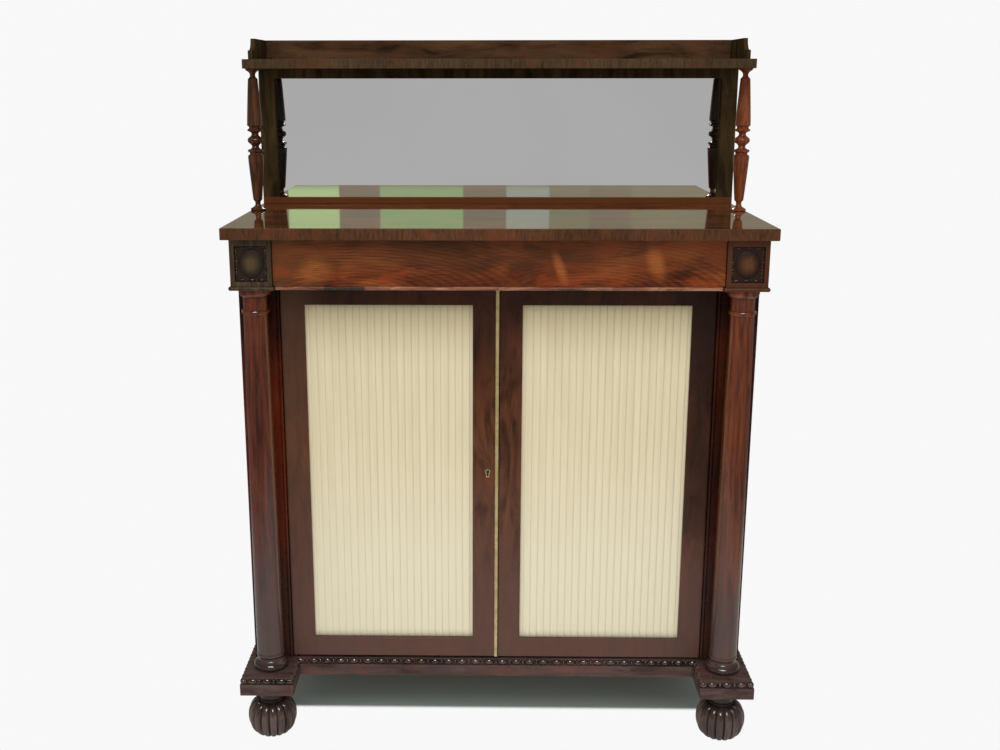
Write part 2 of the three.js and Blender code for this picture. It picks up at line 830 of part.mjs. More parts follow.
function addPivots(carcase, door, side) {
  const ends = [
    ['lower', plinth_top, door_bottom, 1],
    ['upper', abacus_bottom, door_top, -1],
  ];
  for (const [end, fixed_level, door_level, up] of ends) {
    const tag = `${end}_${side_names[side]}`;
    const gap = Math.abs(door_level - fixed_level);
    const fixed = place(carcase, `pivot_pin_${tag}`, fixedPivotGeometry(side, gap, up), brass());
    const moving = place(door, `pivot_plate_${tag}`, doorPivotGeometry(side, up), brass());
    fixed.position.set(side * pivot_x, pivot_y, fixed_level);
    moving.position.set(side * pivot_x, pivot_y, door_level);
  }
}

function meetingStripGeometry() {
  const half = strip_width / 2;
  const round = arc([door_edge_left - half, door_face], [half, strip_rise], 0, -Math.PI, 6);
  return prismUp(round, [door_bottom, door_top]);
}

function escutcheonGeometry() {
  const rim = keyholeShape(escutcheon_rim);
  rim.holes.push(keyholeShape(0));
  return prismBack(rim, [door_face - escutcheon_proud, door_face + escutcheon_depth]);
}

function lockCaseGeometry() {
  const case_box = box(lock_x, [lock_front, door_back - fit], lock_z);
  const slot_x = [door_edge_left - bolt_setback - bolt_length - bolt_clearance, door_edge_left + overrun];
  const slot_y = grown([bolt_y - bolt_thickness / 2, bolt_y + bolt_thickness / 2], fit);
  const slot_z = grown([lock_level - bolt_half_height, lock_level + bolt_half_height], fit);
  return cut(case_box, box(slot_x, slot_y, slot_z));
}

function boltGeometry() {
  const x = [door_edge_left - bolt_setback - bolt_length, door_edge_left - bolt_setback];
  const y = [bolt_y - bolt_thickness / 2, bolt_y + bolt_thickness / 2];
  return box(x, y, [lock_level - bolt_half_height, lock_level + bolt_half_height]);
}

function addDoors(carcase, door_groups) {
  for (const side of [LEFT, RIGHT]) {
    const door = door_groups[side];
    place(door, `door_frame_${side_names[side]}`, doorFrameGeometry(side), dark_rosewood());
    place(door, `silk_panel_${side_names[side]}`, silkGeometry(side), silk());
    addPivots(carcase, door, side);
  }
  const left = door_groups[LEFT];
  place(left, 'meeting_strip', meetingStripGeometry(), brass());
  place(left, 'escutcheon', escutcheonGeometry(), brass());
  place(left, 'lock_case', lockCaseGeometry(), steel());
  place(left, 'lock_bolt', boltGeometry(), steel());
}

// Superstructure: two turned columns, a mirror in its frame, the upper shelf and the gallery.
const small_column_inset = 15; // axis from the end of the top
const small_column_setback = 27.5; // axis behind the upper shelf's front
const small_column_width = 32;
const small_column_sides = 14;
// Radius and height as shares of the half width and of the display height.
const small_column_profile_shares = [
  [0, 0],
  [0.83, 0],
  [0.92, 0.008],
  [0.92, 0.016],
  [0.5, 0.028],
  [0.33, 0.042],
  [0.32, 0.06],
  [0.53, 0.078],
  [1, 0.384],
  [0.96, 0.398],
  [0.74, 0.402],
  [0.74, 0.416],
  [0.97, 0.423],
  [0.97, 0.433],
  [0.5, 0.444],
  [0.42, 0.458],
  [0.5, 0.472],
  [0.86, 0.486],
  [0.95, 0.502],
  [0.86, 0.518],
  [0.5, 0.53],
  [0.43, 0.546],
  [0.5, 0.56],
  [0.92, 0.568],
  [0.92, 0.578],
  [0.72, 0.584],
  [0.72, 0.599],
  [0.94, 0.608],
  [0.6, 0.928],
  [0.48, 0.938],
  [0.33, 0.944],
  [0.33, 0.962],
  [0.5, 0.978],
  [0.86, 0.992],
  [0.86, 1],
  [0, 1],
];

function smallColumnGeometry() {
  const half = small_column_width / 2;
  return turned(
    small_column_profile_shares.map(([r, h]) => [r * half, h * display_height]),
    small_column_sides,
  );
}

const mirror_frame_inset = 1.5; // frame inside the ends of the top board
const mirror_frame_thickness = 22;
const mirror_stile = 33;
const mirror_bottom_rail = 12.5;
const mirror_top_rail = 19;
const mirror_rebate = 7;
const mirror_sight = 8; // frame face to the glass
const glass_thickness = 4;
const mirror_back_thickness = 5;
const mirror_face = back - mirror_frame_thickness;
const glass_x = grown([-top_width / 2, top_width / 2], -mirror_frame_inset - mirror_stile);
const glass_z = [top_surface + mirror_bottom_rail, shelf_bottom - mirror_top_rail];

function mirrorFrameGeometry() {
  const x = grown(glass_x, mirror_stile);
  return cut(
    box(x, [mirror_face, back], [top_surface, shelf_bottom]),
    box(glass_x, grown([mirror_face, back], overrun), glass_z),
    box(grown(glass_x, mirror_rebate), [mirror_face + mirror_sight, back + overrun], grown(glass_z, mirror_rebate)),
  );
}

// A pane held in the frame's rebate, a little smaller than it all round.
function rebatedPane([y0, y1]) {
  const margin = mirror_rebate - silk_clearance;
  return box(grown(glass_x, margin), [y0, y1], grown(glass_z, margin));
}

const gallery_end_thickness = 8.5;
const gallery_back_thickness = 14;
const gallery_inset = 9.5; // gallery's ends inside the ends of the shelf
const gallery_half = top_width / 2 - gallery_inset;
const gallery_setback = 16; // gallery end behind the shelf's front
const gallery_step_height = 17;
const gallery_step = 10;
const gallery_hollow = gallery_height - gallery_step_height; // radius of the hollow
const shelf_front = back - upper_shelf_depth;

// Each end rises from a low square lip through a hollow to full height.
function galleryEndGeometry(side) {
  const lip = shelf_front + gallery_setback;
  const shoulder = lip + gallery_step;
  const hollow = arc([shoulder, gallery_top], [gallery_hollow, gallery_hollow], -Math.PI / 2, 0, 6);
  const outline = [
    [back, gallery_top],
    [back, shelf_surface],
    [lip, shelf_surface],
    [lip, shelf_surface + gallery_step_height],
    ...hollow,
  ];
  return prismAcross(outline, across(side, gallery_half - gallery_end_thickness, gallery_half));
}

function addSuperstructure(group) {
  for (const side of [LEFT, RIGHT]) {
    const column = place(group, `turned_column_${side_names[side]}`, smallColumnGeometry(), rosewood());
    const x = side * (top_width / 2 - small_column_inset);
    column.position.set(x, shelf_front + small_column_setback, top_surface);
    place(group, `gallery_end_${side_names[side]}`, galleryEndGeometry(side), dark_rosewood());
  }
  place(group, 'mirror_frame', mirrorFrameGeometry(), dark_rosewood());
  const glass_front = mirror_face + mirror_sight;
  const glass_back = glass_front + glass_thickness;
  place(group, 'mirror_glass', rebatedPane([glass_front, glass_back]), mirror_silver());
  const backing = [glass_back, glass_back + mirror_back_thickness];
  place(group, 'mirror_back', rebatedPane(backing), carcase_pine());
  const shelf_x = [-top_width / 2, top_width / 2];
  const shelf = box(shelf_x, [shelf_front, back], [shelf_bottom, shelf_surface]);
  place(group, 'upper_shelf', shelf, rosewood());
  const gallery_inner = gallery_half - gallery_end_thickness;
  const gallery_y = [back - gallery_back_thickness, back];
  const gallery = box([-gallery_inner, gallery_inner], gallery_y, [shelf_surface, gallery_top]);
  place(group, 'gallery_back', gallery, dark_rosewood());
}

// The whole piece
const chiffonier = new THREE.Group();
const carcase = new THREE.Group();
const drawer = new THREE.Group();
const superstructure = new THREE.Group();
const doors = { [LEFT]: new THREE.Group(), [RIGHT]: new THREE.Group() };

addFeet(carcase);
addPlinth(carcase);
addBeads(carcase);
addCarcase(carcase);
addColumns(carcase);
for (const side of [LEFT, RIGHT]) {
  place(carcase, `frieze_block_${side_names[side]}`, friezeBlockGeometry(side), dark_rosewood());
}
addDrawerGuides(carcase);
addDrawer(drawer);
addDoors(carcase, doors);
addSuperstructure(superstructure);
chiffonier.add(carcase, drawer, doors[LEFT], doors[RIGHT], superstructure);

export default chiffonier;
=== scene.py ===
# %% [markdown]
# # A rosewood chiffonier
#
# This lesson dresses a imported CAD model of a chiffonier: a low cupboard with two silk-panelled doors, a
# drawer above them, a pair of free columns, and a mirror-backed shelf on top. The CAD solids are the frame.
# Each piece that shows is modelled again at the same place with eased edges, smooth turnings and real
# pleats, and gets a finish made from nodes. Everything is in metres, so CAD sizes can be used as they are.

# %% Load the frame
import json
import math

import bmesh
import bpy
from mathutils import Matrix, Vector

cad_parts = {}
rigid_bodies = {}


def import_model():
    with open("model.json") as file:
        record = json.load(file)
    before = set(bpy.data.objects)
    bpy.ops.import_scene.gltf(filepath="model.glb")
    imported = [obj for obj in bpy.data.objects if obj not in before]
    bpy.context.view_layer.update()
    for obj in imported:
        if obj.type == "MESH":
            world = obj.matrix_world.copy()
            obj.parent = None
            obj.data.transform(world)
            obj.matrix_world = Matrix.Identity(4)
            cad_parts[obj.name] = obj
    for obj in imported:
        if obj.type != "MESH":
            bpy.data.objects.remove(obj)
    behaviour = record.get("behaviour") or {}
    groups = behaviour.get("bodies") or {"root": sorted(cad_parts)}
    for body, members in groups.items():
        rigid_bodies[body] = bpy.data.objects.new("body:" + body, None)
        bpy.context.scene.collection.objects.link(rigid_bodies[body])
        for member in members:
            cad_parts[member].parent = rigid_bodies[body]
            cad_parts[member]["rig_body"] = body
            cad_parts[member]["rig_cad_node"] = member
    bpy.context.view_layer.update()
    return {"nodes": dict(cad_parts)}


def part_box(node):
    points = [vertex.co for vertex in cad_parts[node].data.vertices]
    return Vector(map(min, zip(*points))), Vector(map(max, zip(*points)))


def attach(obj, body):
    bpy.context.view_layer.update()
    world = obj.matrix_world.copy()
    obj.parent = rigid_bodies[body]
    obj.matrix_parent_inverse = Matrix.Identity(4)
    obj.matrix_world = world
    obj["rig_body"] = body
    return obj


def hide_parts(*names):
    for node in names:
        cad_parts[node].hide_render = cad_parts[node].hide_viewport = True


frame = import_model()
MM = 0.001

# %% [markdown]
# ## The camera
#
# The photograph was taken from chest height, looking slightly down, so the uprights lean together towards
# the feet. The camera stood some 20 mm left of the middle and was turned one degree to the left, so the
# right side is drawn a little larger, and the picture was then cropped back to the middle. The eye point,
# the turns and the lens were found by matching corners of the carcase with the photograph.

# %% Place the camera
EYE = Vector((-0.0222, -2.3343, 1.2821))
PITCH_DOWN, YAW, ROLL = (math.radians(a) for a in (14.07, 1.0, -0.04))
LENS, SENSOR_WIDTH = 42.744, 36  # mm
SHIFT = 0.03423  # of the frame's width

bpy.ops.object.camera_add()
camera = bpy.context.object
camera.name = "camera"
tilt = Matrix.Rotation(YAW, 4, "Z") @ Matrix.Rotation(math.pi / 2 - PITCH_DOWN, 4, "X")
camera.matrix_world = Matrix.Translation(EYE) @ tilt @ Matrix.Rotation(ROLL, 4, "Z")
camera.data.lens = LENS
camera.data.sensor_width = SENSOR_WIDTH
camera.data.shift_x = SHIFT
bpy.context.scene.camera = camera
bpy.context.scene.view_settings.view_transform = "Standard"
print("camera height", round(EYE.z, 3), "m, lens", LENS, "mm")

# %% [markdown]
# ## Building a finish from nodes
#
# Every finish here is a small node tree. The trees could be drawn by hand in the shader editor. Written
# out, they can be read line by line, and these helpers only save typing: one adds a node and fills its
# sockets, and the others mix colours and take numbers from one range to another.

# %% Helpers for colours and ranges


def colour(red, green, blue):
    """A colour as picked on screen, turned into the linear values that the shader wants."""
    values = [c / 255 for c in (red, green, blue)]
    return tuple(c / 12.92 if c <= 0.04045 else ((c + 0.055) / 1.055) ** 2.4 for c in values) + (1.0,)


def put(tree, kind, inputs=None, **settings):
    """Adds a node. A socket among the inputs is linked, and anything else is set."""
    made = tree.nodes.new(kind)
    for key, value in settings.items():
        setattr(made, key, value)
    for key, value in (inputs or {}).items():
        if isinstance(value, bpy.types.NodeSocket):
            tree.links.new(value, made.inputs[key])
        else:
            made.inputs[key].default_value = value
    return made


def mixed(tree, factor, first, second, how="MIX"):
    """Mixes two colours."""
    made = put(tree, "ShaderNodeMix", {0: factor, 6: first, 7: second}, data_type="RGBA", blend_type=how)
    return made.outputs[2]


def ranged(tree, value, low, high, to_low=0.0, to_high=1.0):
    """Takes a value from one range to another with soft ends."""
    sockets = {"Value": value, "From Min": low, "From Max": high, "To Min": to_low, "To Max": to_high}
    return put(tree, "ShaderNodeMapRange", sockets, interpolation_type="SMOOTHSTEP").outputs["Result"]


def between(tree, factor, first, second):
    """A number between two others."""
    return put(tree, "ShaderNodeMix", {0: factor, 2: first, 3: second}).outputs[0]


def ramped(tree, value, *stops):
    """Runs a value through a few colours. Each stop is a position and a colour."""
    made = put(tree, "ShaderNodeValToRGB", {"Fac": value})
    elements = made.color_ramp.elements
    first, *middle, last = stops
    elements[0].position, elements[0].color = first
    elements[1].position, elements[1].color = last
    for position, tone in middle:
        elements.new(position).color = tone
    return made.outputs["Color"]


# %% [markdown]
# ## Patterns and places
#
# Patterns are read at Object coordinates, so that they keep their real size and run on through a piece.
# Only the threads of the silk follow its UV map instead. A pattern is moved or drawn out by changing the
# place that it is read at. Small sums on such places tell how far a spot lies from a line or a point.

# %% Helpers for patterns and places


def noise(tree, vector, scale, detail=3.0, roughness=0.55, distortion=0.0):
    """The strength of a noise pattern."""
    sockets = {"Vector": vector, "Scale": scale, "Detail": detail, "Roughness": roughness}
    sockets["Distortion"] = distortion
    return put(tree, "ShaderNodeTexNoise", sockets).outputs[0]


def moved(tree, vector, location=(0, 0, 0), scale=(1, 1, 1), turn=(0, 0, 0)):
    """A Mapping node: moves, turns and stretches a pattern."""
    sockets = {"Vector": vector, "Location": location, "Rotation": turn, "Scale": scale}
    return put(tree, "ShaderNodeMapping", sockets).outputs["Vector"]


def sums(tree, how, first, second):
    """A sum on two numbers."""
    return put(tree, "ShaderNodeMath", {0: first, 1: second}, operation=how).outputs[0]


def absolute(tree, value):
    """A number without its sign."""
    return put(tree, "ShaderNodeMath", {0: value}, operation="ABSOLUTE").outputs[0]


def reach_of(tree, vector):
    """How far a place lies from the zero point."""
    return put(tree, "ShaderNodeVectorMath", {0: vector}, operation="LENGTH").outputs["Value"]


# %% [markdown]
# ## Both ends of a finish
#
# Each finish begins with a Principled shader, whose constants are set straight on its sockets, and with the
# place that its patterns are read at. It ends with its colour, its roughness and its relief linked to the
# shader. The relief is a bump, for pores and threads that are too fine to be modelled.

# %% Start a finish and join it up


def start_finish(name, roughness, metallic=0.0, **constants):
    """A material with its Principled shader; constants are set straight on the shader's sockets."""
    material = bpy.data.materials.new(name)
    material.use_nodes = True
    tree = material.node_tree
    shader = tree.nodes["Principled BSDF"]
    shader.inputs["Roughness"].default_value = roughness
    shader.inputs["Metallic"].default_value = metallic
    for key, value in constants.items():
        shader.inputs[key.replace("_", " ")].default_value = value
    place = put(tree, "ShaderNodeTexCoord").outputs["Object"]
    return material, tree, shader, place


def join_up(tree, shader, base, roughness=None, height=None, strength=0.2, distance=0.3 * MM):
    """Links the colour, the roughness and the relief of a finish to its shader."""
    tree.links.new(base, shader.inputs["Base Color"])
    if roughness is not None:
        tree.links.new(roughness, shader.inputs["Roughness"])
    if height is not None:
        sockets = {"Height": height, "Strength": strength, "Distance": distance}
        bump = put(tree, "ShaderNodeBump", sockets)
        tree.links.new(bump.outputs["Normal"], shader.inputs["Normal"])


# %% [markdown]
# ## Stains, painted shade and painted light
#
# Old wood is never one tone, and some tones here are painted light and shade. A turned foot is painted
# black round its neck as painted shade, and a door is painted darker beside its column as painted shade.
# Such places could be painted on each piece. One helper is quicker: it mixes another tone into a finish
# inside a box with soft faces, for a real stain, for painted shade or for painted light. The box is given
# in metres, and where it has to go right through the piece, it is made to reach well past it.

# %% Stain a finish, or paint shade or light on it, inside a box
PAST = 1.0  # m, further out than any face at the sides, the front or the back


def stain_or_paint_light(material, low, high, tone, weight=1.0, soft=3 * MM):
    """Mixes a tone into a finish inside a box with soft faces: used for real stains, for painted shade and
    for painted light.
    """
    tree = material.node_tree
    shader = tree.nodes["Principled BSDF"]
    base = shader.inputs["Base Color"].links[0].from_socket
    axes = put(tree, "ShaderNodeSeparateXYZ", {0: put(tree, "ShaderNodeTexCoord").outputs["Object"]})
    inside = weight
    for axis, start, end in zip("XYZ", low, high):
        away = absolute(tree, sums(tree, "SUBTRACT", axes.outputs[axis], (start + end) / 2))
        half = (end - start) / 2
        inside = sums(tree, "MULTIPLY", ranged(tree, away, half - soft, half + soft, 1.0, 0.0), inside)
    tree.links.new(mixed(tree, inside, base, colour(*tone)), shader.inputs["Base Color"])


# %% [markdown]
# ## Rosewood
#
# Rosewood is a red-brown timber with smoky, almost black veins that wander along the grain, and open
# pores a few millimetres long. A wave pattern would give regular stripes, but real veins never repeat, so
# the figure here is noise drawn out along the grain. A second, slow noise bends it, so that the veins sway.
# The grain direction is a choice for each piece, as it was when the timber was cut.

# %% Draw a pattern out along the grain
ALONG = {"x": 0, "y": 1, "z": 2}


def stretch_scale(grain, amount):
    """The Mapping scale that draws a pattern out along one axis."""
    scale = [1.0, 1.0, 1.0]
    scale[ALONG[grain]] = 1.0 / amount
    return tuple(scale)


def swaying(tree, place, grain, stretch, swirl):
    """The place drawn out along the grain and pushed about by slow noise."""
    drawn = moved(tree, place, scale=stretch_scale(grain, stretch))
    sway = noise(tree, place, 5.0, detail=1.0).node.outputs["Color"]
    push = put(tree, "ShaderNodeVectorMath", {0: sway, 1: (0.5, 0.5, 0.5)}, operation="SUBTRACT")
    push = put(tree, "ShaderNodeVectorMath", {0: push.outputs[0], 1: (swirl,) * 3}, operation="MULTIPLY")
    return put(tree, "ShaderNodeVectorMath", {0: drawn, 1: push.outputs[0]}, operation="ADD").outputs[0]


# %% [markdown]
# ## Veins, blotches and pores
#
# A ramp over the figure runs from the veins' tone through the ground to the highlights. Finer noise adds
# thin veins. The timber has faded unevenly, so a slow blotch shifts its tone, and some pieces have warm
# patches where the figure turns to the light. The finest noise makes the pores, which are darker.

# %% Colour the figure


def figured(tree, place, bent, grain, tones, figure, veining, glow):
    """The wood's colour, with its figure, its slow blotches and its pores as numbers."""
    dark, body, light = (colour(*tone) for tone in tones)
    main = noise(tree, bent, figure, detail=5.0, roughness=0.62, distortion=0.5)
    base = ramped(tree, main, (0.34, dark), (0.49, body), (0.66, light))
    veins = noise(tree, bent, figure * 4.2, detail=3.0)
    base = mixed(tree, ranged(tree, veins, 0.52, 0.68, 0.0, veining), base, dark)
    slow = noise(tree, moved(tree, place, location=(3.1, 1.7, 0.4)), 4.5, detail=2.0)
    shade = ranged(tree, slow, 0.35, 0.65, 0.84, 1.16)
    shade = put(tree, "ShaderNodeCombineColor", {0: shade, 1: shade, 2: shade}).outputs[0]
    base = mixed(tree, 1.0, base, shade, "MULTIPLY")
    if glow is not None:
        patches = noise(tree, moved(tree, place, scale=stretch_scale(grain, 1.8)), 15.0, detail=3.0)
        base = mixed(tree, ranged(tree, patches, 0.5, 0.68, 0.0, 0.6), base, colour(*glow))
    pore_place = moved(tree, place, scale=stretch_scale(grain, 22.0))
    pores = ranged(tree, noise(tree, pore_place, 900.0, detail=1.0), 0.60, 0.72)
    base = mixed(tree, sums(tree, "MULTIPLY", pores, 0.45), base, dark)
    return base, main, slow, pores


# %% [markdown]
# ## What light and hands have done to it
#
# Near the floor the timber is painted paler and greyer, partly for age and partly as painted light bounced
# up from the floor, and under the frieze it is painted darker, as painted shade. Both tones are mixed in by
# height, and the slow blotches make their limits wander. Polish wears unevenly, which shows in the
# roughness more than in the colour. In the relief the figure stands up a little and the pores are sunk.

# %% The rosewood finish


def aged_and_painted_light(tree, place, base, slow, foot, foot_range, frieze_shade, frieze_shade_range, drift):
    """Mixes into a colour a paler, greyer tone near the floor, partly greyed timber and partly painted light
    bounced from the floor, and a tone of painted shade under the frieze; on the mirror frame the low tone is
    its orange rail.
    """
    level = put(tree, "ShaderNodeSeparateXYZ", {0: place}).outputs["Z"]
    wander = sums(tree, "MULTIPLY_ADD", slow, drift)
    tree.links.new(level, wander.node.inputs[2])
    fade = ranged(tree, wander, foot_range[0] + drift / 2, foot_range[1] + drift / 2, 0.95, 0.0)
    base = mixed(tree, fade, base, mixed(tree, 0.86, base, colour(*foot)))
    if frieze_shade is not None:
        fade = ranged(tree, wander, frieze_shade_range[0] + drift / 2, frieze_shade_range[1] + drift / 2, 0.0, 0.95)
        base = mixed(tree, fade, base, mixed(tree, 0.8, base, colour(*frieze_shade)))
    return base


def rosewood(
    name, grain, dark, body, light, foot=None, foot_range=(0.20, 0.75), frieze_shade=None, frieze_shade_range=(0.70, 0.86),
    figure=75.0, stretch=11.0, swirl=0.05, polish=0.33, gloss=0.3, lacquer=0.0, veining=0.35, glow=None,
    drift=0.3,
):
    """A rosewood finish. dark, body and light are its veins, ground and highlights; foot is the tone near
    the floor, partly greyed timber and partly painted light bounced from the floor, and on the mirror frame
    the colour of its orange lower rail; the tone under the frieze is painted shade; figure is veins per
    metre and veining their strength; gloss is the strength of the shine; lacquer adds a clear coat; glow is
    the tone of warm patches where the figure turns to the light; drift is how far, in m, both tones wander
    up and down."""
    material, tree, shader, place = start_finish(
        name, polish, Specular_IOR_Level=gloss, Coat_Weight=lacquer, Coat_Roughness=0.05
    )
    bent = swaying(tree, place, grain, stretch, swirl)
    base, main, slow, pores = figured(tree, place, bent, grain, (dark, body, light), figure, veining, glow)
    if foot is not None:
        base = aged_and_painted_light(tree, place, base, slow, foot, foot_range, frieze_shade, frieze_shade_range, drift)
    wear = noise(tree, place, 30.0, detail=3.0)
    rough = ranged(tree, wear, 0.3, 0.7, polish - 0.05, polish + 0.07)
    height = sums(tree, "SUBTRACT", sums(tree, "MULTIPLY", main, 0.4), pores)
    join_up(tree, shader, base, rough, height, strength=0.12)
    return material


# %% [markdown]
# ## The woods of the cupboard's front and sides
#
# One tree gave all of it, but age, light and polish have set the pieces apart. The columns are redder, the
# right one brighter, and the torus at the foot of each is painted nearly black, as painted shade and a
# painted dark reflection. The doors are painted darker towards the frieze, as painted shade. Beside the
# right column a door and the pilaster carry painted shade, and beside the left column they carry painted
# light, where light gets past it.

# %% Mix the woods of the front and the sides
# Heights of the painted shade beside the right column and the painted light beside the left one.
COLUMN_SHADE_AND_LIGHT_BAND = (0.4, 1.0)  # m above the floor, where the uprights differ beside the columns
PILASTER_LIGHT_BAND = (0.36, 0.72)
TORUS_SHADE_HEIGHT = 15 * MM
# The foot tones of these woods are partly greyed timber and partly painted light bounced from the floor.
column_wood = rosewood(
    "column_rosewood", "z", (56, 23, 12), (90, 40, 22), (116, 56, 32), foot=(74, 60, 57), swirl=0.02,
    figure=90.0, stretch=16.0, polish=0.17, gloss=0.65, foot_range=(0.15, 0.68), glow=(120, 60, 36),
)
bright_column_wood = rosewood(
    "bright_column_rosewood", "z", (62, 26, 13), (100, 48, 25), (128, 66, 37), foot=(78, 61, 56),
    swirl=0.02, figure=90.0, stretch=16.0, polish=0.17, gloss=0.65, foot_range=(0.15, 0.62),
)
# Painted shade and a painted dark reflection: each torus is made nearly black.
torus_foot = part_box("column_left")[0].z
for finish in (column_wood, bright_column_wood):
    torus_shade_low, torus_shade_high = (-PAST, -PAST, torus_foot - MM), (PAST, PAST, torus_foot + TORUS_SHADE_HEIGHT)
    stain_or_paint_light(finish, torus_shade_low, torus_shade_high, (27, 22, 20), 0.55)
# The door's tone under the frieze is painted shade.
door_wood = rosewood(
    "door_rosewood", "z", (60, 31, 17), (96, 55, 32), (114, 66, 41), foot=(102, 76, 67), figure=60.0,
    stretch=7.0, swirl=0.08, polish=0.34, gloss=0.2, foot_range=(0.2, 0.66), frieze_shade=(44, 20, 9),
    frieze_shade_range=(0.60, 0.83), veining=0.15, glow=(124, 67, 38),
)
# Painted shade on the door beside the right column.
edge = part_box("door_frame_right")[1].x
painted_shade_low, painted_shade_high = (edge - 0.065, -PAST, COLUMN_SHADE_AND_LIGHT_BAND[0]), (edge + 0.1, PAST, COLUMN_SHADE_AND_LIGHT_BAND[1])
stain_or_paint_light(door_wood, painted_shade_low, painted_shade_high, (30, 17, 11), 0.65, soft=0.05)
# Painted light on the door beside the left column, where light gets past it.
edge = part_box("door_frame_left")[0].x
door_light_low, door_light_high = (edge - 0.1, -PAST, COLUMN_SHADE_AND_LIGHT_BAND[0]), (edge + 0.05, PAST, COLUMN_SHADE_AND_LIGHT_BAND[1])
stain_or_paint_light(door_wood, door_light_low, door_light_high, (104, 74, 56), 0.5, soft=0.05)
side_wood = rosewood(
    "side_rosewood", "z", (46, 25, 16), (90, 51, 33), (118, 70, 46), foot=(86, 61, 53), figure=36.0,
    stretch=9.0, swirl=0.12, polish=0.34, gloss=0.2, glow=(124, 68, 42),
)
# The pilaster's tone under the frieze is painted shade.
pilaster_wood = rosewood(
    "pilaster_rosewood", "z", (40, 14, 6), (74, 30, 13), (100, 44, 21), foot=(58, 40, 34), figure=50.0,
    polish=0.3, gloss=0.15, frieze_shade=(34, 13, 6), frieze_shade_range=(0.75, 0.88), glow=(116, 48, 22),
)
# Painted shade on the right pilaster, behind its column.
low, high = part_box("pilaster_right")
painted_shade_low, painted_shade_high = (low.x - 0.05, -PAST, COLUMN_SHADE_AND_LIGHT_BAND[0]), (high.x + 0.05, PAST, COLUMN_SHADE_AND_LIGHT_BAND[1])
stain_or_paint_light(pilaster_wood, painted_shade_low, painted_shade_high, (34, 14, 8), 0.5, soft=0.04)
# Painted light on the left pilaster, where light gets past its column.
pilaster_light_low, pilaster_light_high = (-high.x - 0.05, -PAST, PILASTER_LIGHT_BAND[0]), (-low.x + 0.05, PAST, PILASTER_LIGHT_BAND[1])
stain_or_paint_light(pilaster_wood, pilaster_light_low, pilaster_light_high, (140, 46, 14), 0.3, soft=0.06)
front_woods = (column_wood, bright_column_wood, door_wood, side_wood, pilaster_wood)
print("mixed:", [wood.name for wood in front_woods])

# %% [markdown]
# ## The woods of the plinth, the feet and the beads
#
# Near the floor everything has gone grey. The plinth's front and its sides differ only in the way their
# grain runs. The feet are painted darker round the neck and over the tops of the reeds, as painted shade
# under the plinth, by two boxes of tone of which the smaller is the darker. The beads are glossier than
# the boards, for it is their crests that get rubbed.

# %% Mix the woods near the floor
NECK_SHADE, REED_TOP_SHADE = 71 * MM, 58 * MM  # above the floor, where the foot's two stains begin
plinth_wood = rosewood(
    "plinth_rosewood", "x", (60, 42, 37), (88, 67, 61), (104, 81, 75), figure=70.0, polish=0.3, gloss=0.25,
    glow=(118, 74, 62),
)
plinth_side_wood = rosewood(
    "plinth_side_rosewood", "y", (60, 42, 37), (88, 67, 61), (104, 81, 75), figure=70.0, polish=0.3,
)
foot_wood = rosewood(
    "foot_rosewood", "z", (50, 37, 33), (84, 66, 61), (108, 87, 80), figure=60.0, polish=0.14, gloss=0.5,
)
foot_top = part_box("foot_front_left")[1].z + MM
# Painted shade on the feet: nearly black round the neck, and darker over the tops of the reeds.
stain_or_paint_light(foot_wood, (-PAST, -PAST, NECK_SHADE), (PAST, PAST, foot_top), (22, 17, 15), 0.7, soft=5 * MM)
stain_or_paint_light(foot_wood, (-PAST, -PAST, REED_TOP_SHADE), (PAST, PAST, foot_top), (34, 30, 27), 0.4, soft=10 * MM)
bead_wood = rosewood(
    "bead_rosewood", "x", (38, 23, 20), (68, 47, 42), (92, 66, 58), figure=90.0, polish=0.1, gloss=0.9,
)
print("mixed:", plinth_wood.name, plinth_side_wood.name, foot_wood.name, bead_wood.name)

# %% [markdown]
# ## The woods of the frieze, the top and the shelf above it
#
# The frieze blocks are nearly olive, though the right one is redder. The mirror frame is olive too, above
# an orange lower rail. The edges of the top and the shelf have bands of short, upright grain, so their
# figure is very fine. The top is polished until it mirrors, which a clear coat gives. Of the small columns
# the right one has bleached to orange, and the backs of both are painted dark, as painted shade.

# %% Mix the woods higher up
MIRROR_RAIL_TOP = 1.0345  # m, where the lower rail of the mirror frame ends
block_wood = rosewood(
    "block_rosewood", "z", (48, 36, 24), (74, 58, 40), (96, 75, 52), figure=80.0, polish=0.3, gloss=0.2,
)
low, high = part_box("frieze_block_right")
red_low, red_high = (low.x - 0.02, -PAST, low.z - 0.03), (high.x + 0.02, PAST, high.z + 0.02)
stain_or_paint_light(block_wood, red_low, red_high, (90, 46, 26), 0.8)
frame_wood = rosewood(
    "frame_rosewood", "z", (42, 32, 19), (64, 50, 32), (82, 64, 42), figure=45.0, gloss=0.0,
    foot=(116, 66, 38), foot_range=(MIRROR_RAIL_TOP, MIRROR_RAIL_TOP + 1 * MM), drift=0.0,
)
gallery_wood = rosewood(
    "gallery_rosewood", "x", (54, 37, 24), (86, 62, 44), (102, 74, 52), figure=60.0, gloss=0.0,
    veining=0.2, glow=(104, 66, 44),
)
crossband_wood = rosewood(
    "crossband_rosewood", "z", (70, 43, 26), (88, 55, 34), (102, 65, 41), figure=300.0, stretch=6.0,
    swirl=0.01, polish=0.3, gloss=0.1, veining=0.1, glow=(112, 62, 38),
)
shelf_edge_wood = rosewood(
    "shelf_edge_rosewood", "z", (62, 48, 34), (78, 62, 45), (90, 72, 53), figure=300.0, stretch=6.0,
    swirl=0.01, gloss=0.0, veining=0.1, glow=(100, 64, 45),
)
